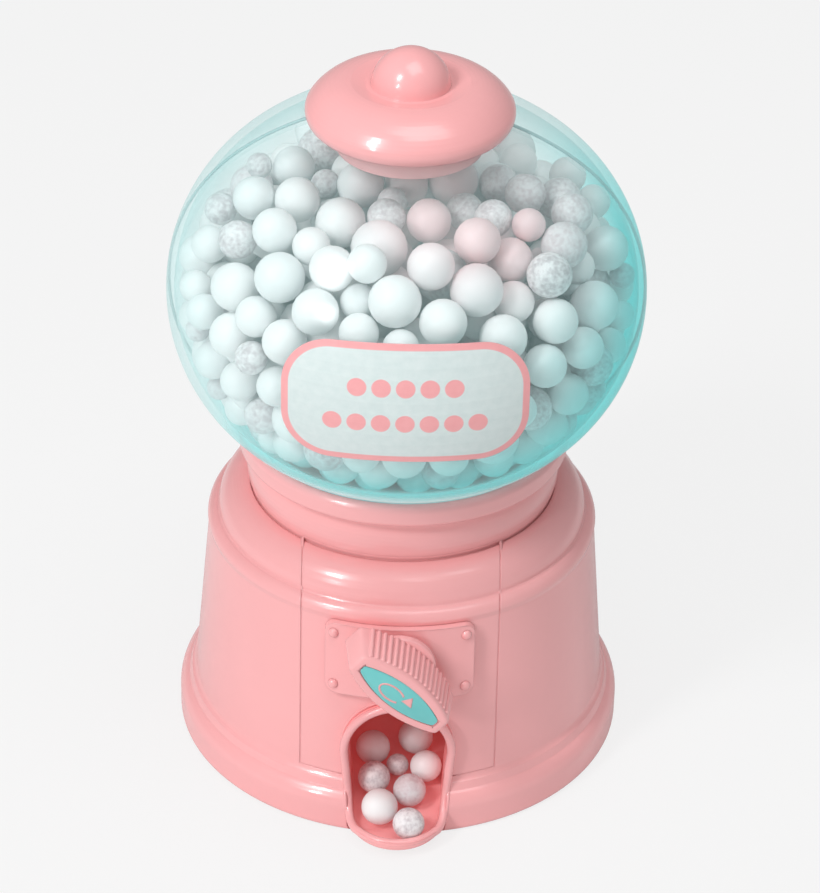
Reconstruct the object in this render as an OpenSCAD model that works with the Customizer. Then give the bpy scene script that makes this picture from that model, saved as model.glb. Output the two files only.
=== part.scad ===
// Countertop gumball machine: a clear two-part globe on a stepped base, with a
// thumb-turn that drives a paddle wheel under the globe's throat. Each quarter turn
// drops one pocket of gumballs down a ramp to the tray at the front.
// Millimetres, +Z up, the front faces -Y, the origin is the centre of the foot.

/* [Globe] */
// Outer radius at the equator
globe_r = 42; // [40:0.5:44]
// Height from the equator to either pole of the oval
globe_rise = 36.2; // [35:0.2:38]
// Radius of the arc round the side of the oval
globe_side_r = 33; // [31:0.5:34]
// Height of the equator above the foot
globe_z = 90; // [88:0.5:92]
// Wall of the moulded globe
globe_wall = 1.4; // [1:0.1:2]
// Turn of the mould seam away from square to the front
globe_turn = -6; // [-12:1:12]
// Outer radius of the filling neck
neck_r = 14.5; // [13.5:0.25:15]
// Height of the neck's rim above the equator
neck_rise = 36.4; // [36:0.2:37]
// Outer radius of the globe's foot
spigot_r = 27.2; // [26.4:0.2:27.6]
// Depth of the half-wall lap between the two halves
lap_depth = 1.5; // [1:0.25:2.5]

/* [Collar] */
// Height of the collar's lip above the base's ring
collar_lip_h = 4; // [3.6:0.1:4.4]
// Width of the collar's lip at its top
collar_lip_t = 1.5; // [1.3:0.1:2]
// Thickness of the ledge under the globe's foot
ledge_t = 1; // [0.8:0.1:1.4]
// Depth of the collar's plug in the base's ring
collar_plug_h = 4.4; // [3:0.2:5]
// Wall of the collar's plug
collar_plug_t = 1.1; // [0.9:0.1:1.3]

/* [Lid] */
// Outer radius of the lid's rim
lid_r = 18; // [17:0.25:19]
// Height of the lid's crest above its rim
lid_rise = 7.4; // [7:0.1:8.4]
// Radius of the round crest on the lid
lid_crest_r = 10.2; // [9.4:0.1:10.8]
// Rounding of the lid's outer edge
lid_edge_r = 2.5; // [2.2:0.1:2.9]
// Radius of the finger dome
dome_r = 6.9; // [6:0.1:7.4]
// Wall of the lid
lid_wall = 1.5; // [1.2:0.1:1.8]
// Length of the plug below the lid's rim
plug_length = 4.5; // [2.5:0.5:6]

/* [Base shell] */
// Outer radius of the foot flange
flange_r = 40.6; // [39.6:0.2:42]
// Height of the foot flange
flange_h = 10; // [9:0.25:11]
// Radius of the wall just above the flange
wall_low_r = 37.6; // [37.2:0.1:38]
// Radius of the wall at the shoulder
wall_high_r = 35; // [34.6:0.1:35.4]
// Height of the shoulder
shoulder_z = 42.8; // [42.4:0.1:43.4]
// Tube radius of the small bead on the shoulder
bead_r = 2; // [1.6:0.1:2.2]
// Tube radius of the large roll above the bead
roll_r = 5.6; // [5.2:0.1:5.8]
// Radius of the upright ring under the globe
ring_r = 27.5; // [27.3:0.1:27.9]
// Height of the top of the upright ring
ring_top_z = 58.7; // [58.2:0.1:59]
// Wall of the base mouldings
base_wall = 1.6; // [1.3:0.1:1.9]

/* [Front panel] */
// Half width of the separate front panel
panel_half_w = 17.4; // [16:0.2:19]
// Width of the raised plate behind the knob
plate_w = 26.2; // [25:0.2:28]
// Height of the raised plate
plate_h = 14.1; // [13.5:0.1:14.5]
// Height of the middle of the plate
plate_z = 35; // [34.8:0.1:35.6]
// Thickness of the plate over the wall
plate_t = 1.4; // [1.2:0.1:1.6]
// Horizontal pitch of the four rivets
rivet_pitch_x = 23.2; // [21:0.1:23.4]
// Vertical pitch of the four rivets
rivet_pitch_z = 10.3; // [10:0.1:11]
// Radius of a rivet's head
rivet_r = 0.95; // [0.85:0.05:1.1]

/* [Knob] */
// Height of the knob's axis
axis_z = 35.8; // [35.4:0.1:36.2]
// Length of the thumb bar across its face
bar_length = 20.4; // [19:0.2:22]
// Width of the thumb bar at the middle of its face
bar_width = 8.2; // [7.6:0.1:9.2]
// Width of the flat at each end of the thumb bar
bar_end_w = 3.4; // [3:0.1:4.6]
// Depth of the thumb bar in front of its disc
bar_depth = 7.8; // [7:0.2:9]
// How much wider the thumb bar is at its back, on each side
bar_draft = 0.9; // [0.3:0.1:1.2]
// Angle of the thumb bar below the horizontal, at rest
bar_tilt = 42; // [0:2:90]
// Radius of the disc behind the thumb bar
disc_r = 6.4; // [5.6:0.1:7]
// Thickness of the disc
disc_t = 1.5; // [1:0.1:2]
// Grip ribs along each long side
rib_count = 13; // [9:1:15]
// Radius of one grip rib
rib_r = 0.36; // [0.25:0.01:0.45]
// Length of the coloured inlay in the knob's face
inlay_length = 17.4; // [15:0.1:17.9]
// Width of the coloured inlay
inlay_width = 6; // [5:0.1:6.4]

/* [Dispensing wheel] */
// Radius over the wheel's vanes
vane_r = 12; // [11.6:0.1:12.2]
// Number of vanes
vane_count = 4; // [3:1:4]
// Thickness of a vane
vane_t = 1.6; // [1.2:0.1:2]
// Length of the wheel along its shaft
wheel_length = 15; // [13:0.5:15.5]
// Outer radius of the wheel's hub
hub_r = 3.2; // [3:0.1:3.6]
// Radius of the drive shaft
shaft_r = 1.75; // [1.5:0.05:2]
// Wall of the wheel housing
housing_wall = 1.2; // [1:0.1:1.4]

/* [Chute and tray] */
// Inner half width of the chute and its arch
chute_r = 9; // [8.6:0.1:9.2]
// Height of the centre of the arch
arch_z = 16.4; // [15.8:0.1:16.8]
// Wall of the chute
chute_wall = 0.9; // [0.8:0.1:1.1]
// How far the rim of the arch stands out from the wall
arch_proud = 1.5; // [1:0.1:2]
// Distance of the tray's front lip from the centre
lip_reach = 47.6; // [46:0.2:48.4]
// Height of the tray's front lip
lip_z = 3.8; // [3.6:0.1:5]
// Radius of the sweep from the arch's rim to the tray's lip
sweep_r = 5; // [3:0.5:6]
// Radius of the tray's bottom edge
tray_edge_r = 3; // [2:0.5:3.5]
// Height of the ramp at the back
ramp_back_z = 14.8; // [14:0.1:15.2]

/* [Label] */
// Width of the label across its chord
label_w = 41.4; // [36:0.2:44]
// Height of the label
label_h = 22; // [19:0.2:23]
// Radius of the label's corners
label_corner = 8.4; // [6:0.2:9.2]
// Height of the middle of the label
label_z = 91.6; // [89:0.2:93]
// Upward turn of the label's outline
label_tilt = 14; // [0:1:18]
// Thickness of the label
label_t = 0.25; // [0.15:0.05:0.4]

/* [Gumballs] */
// Size of each gumball against the room that it has in the heap
ball_fill = 1; // [0.9:0.01:1]
// Height to which the globe is filled
fill_z = 113; // [100:1:114]

/* [Screws] */
// Radius of a screw's thread
screw_r = 1; // [0.8:0.05:1.2]
// Radius of a screw's head
screw_head_r = 2.1; // [1.8:0.1:2.4]
// Height of a screw's head
screw_head_h = 1.3; // [1:0.1:1.4]
// Length of the cover's screws
cover_screw_l = 9; // [6:0.5:11]
// Length of the screws under the ramp
ramp_screw_l = 6.5; // [5:0.5:7.5]
// Length of the screws that hold the hopper
housing_screw_l = 3.8; // [3:0.2:4.2]
// Length of the screw in the end of the shaft
shaft_screw_l = 5.2; // [4:0.2:5.4]

/* [Hidden] */
$fn = 96;

// Clearances
seat = 0.1;         // between pieces that rest on each other
lid_gap = 0.2;      // between the lid and the globe
slip = 0.2;         // between pieces that slide into each other
running = 0.05;     // between a turning shaft and its bush
sweep = 0.4;        // between the wheel and its housing
far = 200;          // longer than anything in the machine

// Globe oval: a side arc and a flatter polar arc that meet at one tangent
polar_r = (pow(globe_r - globe_side_r, 2) + pow(globe_rise, 2) - pow(globe_side_r, 2))
          / (2 * (globe_rise - globe_side_r));
polar_drop = polar_r - globe_rise;
oval_turn = atan2(polar_drop, globe_r - globe_side_r);
arc_steps = 14;

// Stack of heights under the globe
collar_z = ring_top_z + slip;           // underside of the collar's lip
ledge_top_z = collar_z + ledge_t;       // what the globe's foot stands on
collar_top_z = collar_z + collar_lip_h; // top of the collar's lip
globe_foot_z = ledge_top_z + seat;            // underside of the globe
globe_foot_r = max(spigot_r, globe_at(globe_foot_z));
collar_in_r = globe_foot_r + seat;
collar_top_r = max(collar_in_r, globe_at(collar_top_z) + seat) + 0.1;
collar_lip_r = collar_top_r + collar_lip_t;
collar_spigot_r = ring_r - base_wall - slip;
ledge_inner_r = collar_spigot_r - collar_plug_t - 0.6;
hopper_wall = 1.3;
throat_r = wheel_length / 2 - 0.2;
hopper_rim_z = ledge_top_z + seat;
hopper_top_z = hopper_rim_z + 1.2;
hopper_rim_r = spigot_r - globe_wall - slip - seat;
housing_in_r = vane_r + sweep;
housing_out_r = housing_in_r + housing_wall;
housing_top_z = axis_z + housing_out_r + 0.7;
spout_z = housing_top_z + seat;
funnel_low_z = spout_z + 0.7;
funnel_high_r = hopper_rim_r - 0.9;
funnel_slope = atan2(hopper_top_z - funnel_low_z, funnel_high_r - throat_r);

// Wheel housing along the shaft, measured from the centre of the wheel
housing_half = wheel_length / 2 + sweep + 0.1;
housing_front_y = -housing_half - 1.5;
cap_t = 1.5;
cap_back_y = housing_half + seat + cap_t;
cap_boss_h = 2;
bush_r = shaft_r + 1.45;
lug_x = 16.5;
lug_half_w = 4;
lug_t = 1.5;
boss_r = 2.6;

// Base profile
flange_edge = 1.2;
cove_r = 1.6;
cove_rise = 0.7;
bead_x = wall_high_r + 0.2 - bead_r;
roll_z = shoulder_z + bead_r + 0.2;
roll_top_z = roll_z + roll_r;
inner_flange_r = flange_r - 2.4;

// Knob plate, which follows the wall
wall_taper = atan2(wall_low_r - wall_high_r, shoulder_z - 1 - flange_h - cove_rise);
plate_face = wall_at(axis_z) + plate_t;

// Knob
knob_gap = 0.3;
disc_back = wall_at(axis_z - disc_r) + plate_t + knob_gap;
bar_back = disc_back + disc_t;
bar_face = bar_back + bar_depth;
inlay_t = 0.5;
inlay_sunk = 0.6;
rib_stop = 1;
bar_sag = (bar_width - bar_end_w) / 2;
bar_arc_r = (pow(bar_length / 2, 2) + pow(bar_sag, 2)) / (2 * bar_sag);
inlay_end_w = 1.8;
inlay_sag = (inlay_width - inlay_end_w) / 2;
inlay_arc_r = (pow(inlay_length / 2, 2) + pow(inlay_sag, 2)) / (2 * inlay_sag);
rib_margin = 1.4;
flat_depth = 0.5;
bore_depth = 7;
shaft_front = disc_back + bore_depth - 0.3;
shaft_back = cap_back_y + cap_boss_h + 0.35;
washer_t = 0.6;
rivet_shank_r = 0.6;
rivet_rise = 0.7;
rivet_depth = 1.1;

// Chute and tray
chute_out = chute_r + chute_wall;
chute_draft = 0.09;
arch_face = wall_at(arch_z + chute_r) + arch_proud;
tray_low_z = 0.8;
tray_floor_z = tray_low_z + chute_wall;
tray_centre = lip_reach - chute_out + chute_draft * (arch_z - lip_z);
tunnel_back = 28.4;
cover_t = 1.6;
cover_z = 1.6;
cover_r = inner_flange_r - slip;
chute_low_z = cover_z + cover_t + seat;
trough_back = cap_back_y + 0.6;
trough_wall_z = 24.4;
ramp_front_y = -41;
ramp_t = 1.3;
foot_x = 6;
foot_y = 4;
foot_r = 2.4;

// Bosses for the bottom cover
post_ring_r = 31;
post_r = 3;
post_top_z = 18;
post_angles = [90, 210, 330];
pilot_r = screw_r + running;
screw_clear_r = screw_r + slip;

// ---------------------------------------------------------------- outlines

// Points along an arc, from angle a to angle b
function arc(cx, cz, r, a, b, n = arc_steps) =
    [for (i = [0 : n]) let (t = a + (b - a) * i / n) [cx + r * cos(t), cz + r * sin(t)]];

// Radius of the globe's oval at height z
function globe_at(z) =
    let (h = abs(z - globe_z))
    h < globe_side_r * sin(oval_turn)
    ? globe_r - globe_side_r + sqrt(pow(globe_side_r, 2) - pow(h, 2))
    : sqrt(max(0, pow(polar_r, 2) - pow(h + polar_drop, 2)));

// The globe's oval, moved inwards by d, from radius low_r at the foot to radius top_r at the neck
function oval(d, low_r, top_r) =
    let (low = acos(min(1, low_r / (polar_r - d))), top = acos(top_r / (polar_r - d)),
         points = concat(
             low > oval_turn ? arc(0, globe_z + polar_drop, polar_r - d, -low, -oval_turn) : [],
             arc(globe_r - globe_side_r, globe_z, globe_side_r - d, -oval_turn, oval_turn, 2 * arc_steps),
             arc(0, globe_z - polar_drop, polar_r - d, oval_turn, top)))
    [for (p = points) if (p[1] > globe_foot_z + 0.05) p];

// Outside of the base from the foot to the roll, moved outwards by g
function base_outline(g = 0) = concat(
    arc(flange_r - flange_edge, flange_edge, flange_edge + g, -90, 0, 6),
    arc(flange_r - 3.4, flange_h - 5, 3.4 + g, 0, 60, 8),
    arc(wall_low_r + cove_r, flange_h + cove_rise, cove_r - g, 240, 180, 6),
    [[wall_high_r + g, shoulder_z - 1]],
    arc(bead_x, shoulder_z, bead_r + g, 0, 84, 10),
    arc(ring_r + 0.1, roll_z, roll_r + g, 0, 90));

// Inside of the base walls, from the top down to the foot
function base_inline() = concat(
    arc(ring_r + 0.1, roll_z, roll_r - base_wall, 90, 0),
    [[wall_high_r - base_wall, shoulder_z - 1],
     [wall_low_r - base_wall, flange_h + cove_rise],
     [inner_flange_r, flange_h - 3],
     [inner_flange_r, 0]]);

// Radius of the wall's outside at height z
function wall_at(z) =
    let (foot = flange_h + cove_rise)
    wall_low_r + (wall_high_r - wall_low_r) * (z - foot) / (shoulder_z - 1 - foot);

// Height of the funnel's surface at radius r
function funnel_at(r) = funnel_low_z + max(0, r - throat_r) * tan(funnel_slope);

// Height of the ramp's surface at y
function ramp_at(y) =
    let (along = max(0, y - ramp_front_y) / (trough_back - ramp_front_y))
    tray_floor_z + (ramp_back_z - tray_floor_z) * along;

module spin(points) {
    rotate_extrude() polygon(points);
}

// A bar along Y: child outline in X and Z, between y = from and y = to
module along_y(from, to) {
    translate([0, to, 0]) rotate([90, 0, 0]) linear_extrude(to - from) children();
}

// A round bar along Y through (x, z)
module rod_y(r, from, to, x = 0, z = axis_z) {
    translate([x, to, z]) rotate([90, 0, 0]) cylinder(r = r, h = to - from);
}

// Rectangle w by h with corners of radius r, about the origin
module rounded(w, h, r) {
    square([w - 2 * r, h], center = true);
    square([w, h - 2 * r], center = true);
    for (x = [-1, 1], y = [-1, 1]) translate([x * (w / 2 - r), y * (h / 2 - r)]) circle(r);
}

// Lens of two arcs with flat ends
module lens(length, width, r) {
    intersection() {
        translate([0, width / 2 - r]) circle(r, $fn = 180);
        translate([0, r - width / 2]) circle(r, $fn = 180);
        square([length, width + 1], center = true);
    }
}

// Everything between two heights, and between two x
module slab(x0, x1, y0, y1, z0, z1) {
    translate([x0, y0, z0]) cube([x1 - x0, y1 - y0, z1 - z0]);
}

// ---------------------------------------------------------------- globe

module globe_shell() {
    skin = oval(0, globe_foot_r, neck_r);
    bore = oval(globe_wall, globe_foot_r - globe_wall, neck_r - globe_wall);
    spin(concat(
        [[globe_foot_r - globe_wall, globe_foot_z], [globe_foot_r, globe_foot_z]],
        skin,
        [[neck_r, globe_z + neck_rise], [neck_r - globe_wall, globe_z + neck_rise]],
        [for (i = [len(bore) - 1 : -1 : 0]) bore[i]]));
}

// The inner part of the wall, which laps from the front half into the back half
module lap_skin(outer) {
    out = oval(outer, globe_foot_r - outer, neck_r - outer);
    bore = oval(globe_wall + 0.5, globe_foot_r - globe_wall - 0.5, neck_r - globe_wall - 0.5);
    spin(concat(
        [[globe_foot_r - globe_wall - 0.5, globe_foot_z - 1], [globe_foot_r - outer, globe_foot_z - 1]],
        out,
        [[neck_r - outer, globe_z + neck_rise + 1],
         [neck_r - globe_wall - 0.5, globe_z + neck_rise + 1]],
        [for (i = [len(bore) - 1 : -1 : 0]) bore[i]]));
}

module globe_front() {
    color("azure", 0.35) rotate([0, 0, globe_turn]) {
        intersection() {
            globe_shell();
            slab(-far, far, -far, 0, 0, far);
        }
        intersection() {
            globe_shell();
            lap_skin(globe_wall / 2 + seat / 2);
            slab(-far, far, -0.5, lap_depth, 0, far);
        }
    }
}

module globe_back() {
    color("azure", 0.35) rotate([0, 0, globe_turn]) difference() {
        intersection() {
            globe_shell();
            slab(-far, far, seat, far, 0, far);
        }
        intersection() {
            lap_skin(globe_wall / 2 - seat / 2);
            slab(-far, far, -1, lap_depth + seat, 0, far);
        }
    }
}

// Ring that gathers the foot of the globe and plugs into the base
module globe_collar() {
    plug_low = collar_z - collar_plug_h;
    plug_in = collar_spigot_r - collar_plug_t;
    color("lightpink") spin(concat(
        [[plug_in, plug_low], [collar_spigot_r, plug_low], [collar_spigot_r, collar_z]],
        arc(collar_lip_r - 0.8, collar_z + 0.8, 0.8, -90, 0, 6),
        arc(collar_lip_r - 1.3, collar_top_z - 1.3, 1.3, 0, 90, 8),
        [[collar_top_r, collar_top_z], [collar_in_r, collar_top_z - 0.7], [collar_in_r, ledge_top_z],
         [ledge_inner_r, ledge_top_z], [ledge_inner_r, collar_z], [plug_in, collar_z - 0.6]]));
}

// Sticker on the front of the globe
module label() {
    inner = oval(-0.05, globe_foot_r, neck_r);
    outer = oval(-0.05 - label_t, globe_foot_r, neck_r);
    color("mintcream") intersection() {
        spin(concat(inner, [for (i = [len(outer) - 1 : -1 : 0]) outer[i]]));
        translate([0, -globe_r, label_z]) rotate([90 - label_tilt, 0, 0])
            linear_extrude(globe_r, center = true) rounded(label_w, label_h, label_corner);
    }
}

// ---------------------------------------------------------------- lid

module lid() {
    seat_r = polar_r + lid_gap;
    rim_z = globe_z + sqrt(pow(seat_r, 2) - pow(lid_r, 2)) - polar_drop;
    rim_in_r = lid_r - lid_wall;
    crest_z = rim_z + lid_rise;
    edge_z = rim_z + lid_edge_r - 0.5;
    dome_z = crest_z - 0.9;
    plug_r = neck_r - globe_wall - 0.3;
    plug_in_r = plug_r - 1.4;
    dish_r = dome_r + 0.8;
    // the arc over the lid, tangent to the arc of its edge
    across = lid_r - lid_edge_r - lid_crest_r;
    up = crest_z - edge_z;
    over_r = (pow(across, 2) + pow(up, 2) - pow(lid_edge_r, 2)) / (2 * (up - lid_edge_r));
    meet = atan2(over_r - up, across);
    color("lightpink") difference() {
        union() {
            spin(concat(
                [[rim_in_r, edge_z - lid_edge_r]],
                arc(lid_r - lid_edge_r, edge_z, lid_edge_r, -60, meet, 8),
                arc(lid_crest_r, crest_z - over_r, over_r, meet, 90, 10),
                [[dish_r + 1.2, crest_z - 0.2], [dish_r, crest_z - 0.4],
                 [0, crest_z - 0.4], [0, crest_z - 0.4 - lid_wall]],
                arc(lid_crest_r, crest_z - over_r, over_r - lid_wall, 90, meet, 10)));
            translate([0, 0, dome_z]) sphere(r = dome_r);
            translate([0, 0, rim_z - plug_length])
                cylinder(r = plug_r, h = crest_z - 1.2 - rim_z + plug_length);
        }
        // hollow of the plug and of the dome
        translate([0, 0, rim_z - plug_length - 1])
            cylinder(r = plug_in_r, h = crest_z - 0.4 - lid_wall - rim_z + plug_length + 1);
        translate([0, 0, dome_z]) sphere(r = dome_r - lid_wall);
        slab(-dome_r, dome_r, -dome_r, dome_r, dome_z - 2 * dome_r, crest_z - 0.4 - lid_wall);
        // seat that follows the globe round its neck
        spin(concat(
            [[neck_r, globe_z], [lid_r + 2, globe_z]],
            arc(0, globe_z - polar_drop, seat_r, acos((lid_r + 2) / seat_r), acos(neck_r / seat_r))));
    }
}

// ---------------------------------------------------------------- gumballs

// Room inwards from the globe's inside, at radius x and height h from its middle
function globe_room(x, h) =
    let (out = x - globe_r + globe_side_r)
    out > 0 && atan2(abs(h), out) < oval_turn
    ? globe_side_r - globe_wall - norm([out, h])
    : polar_r - globe_wall - norm([x, abs(h) + polar_drop]);

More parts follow.
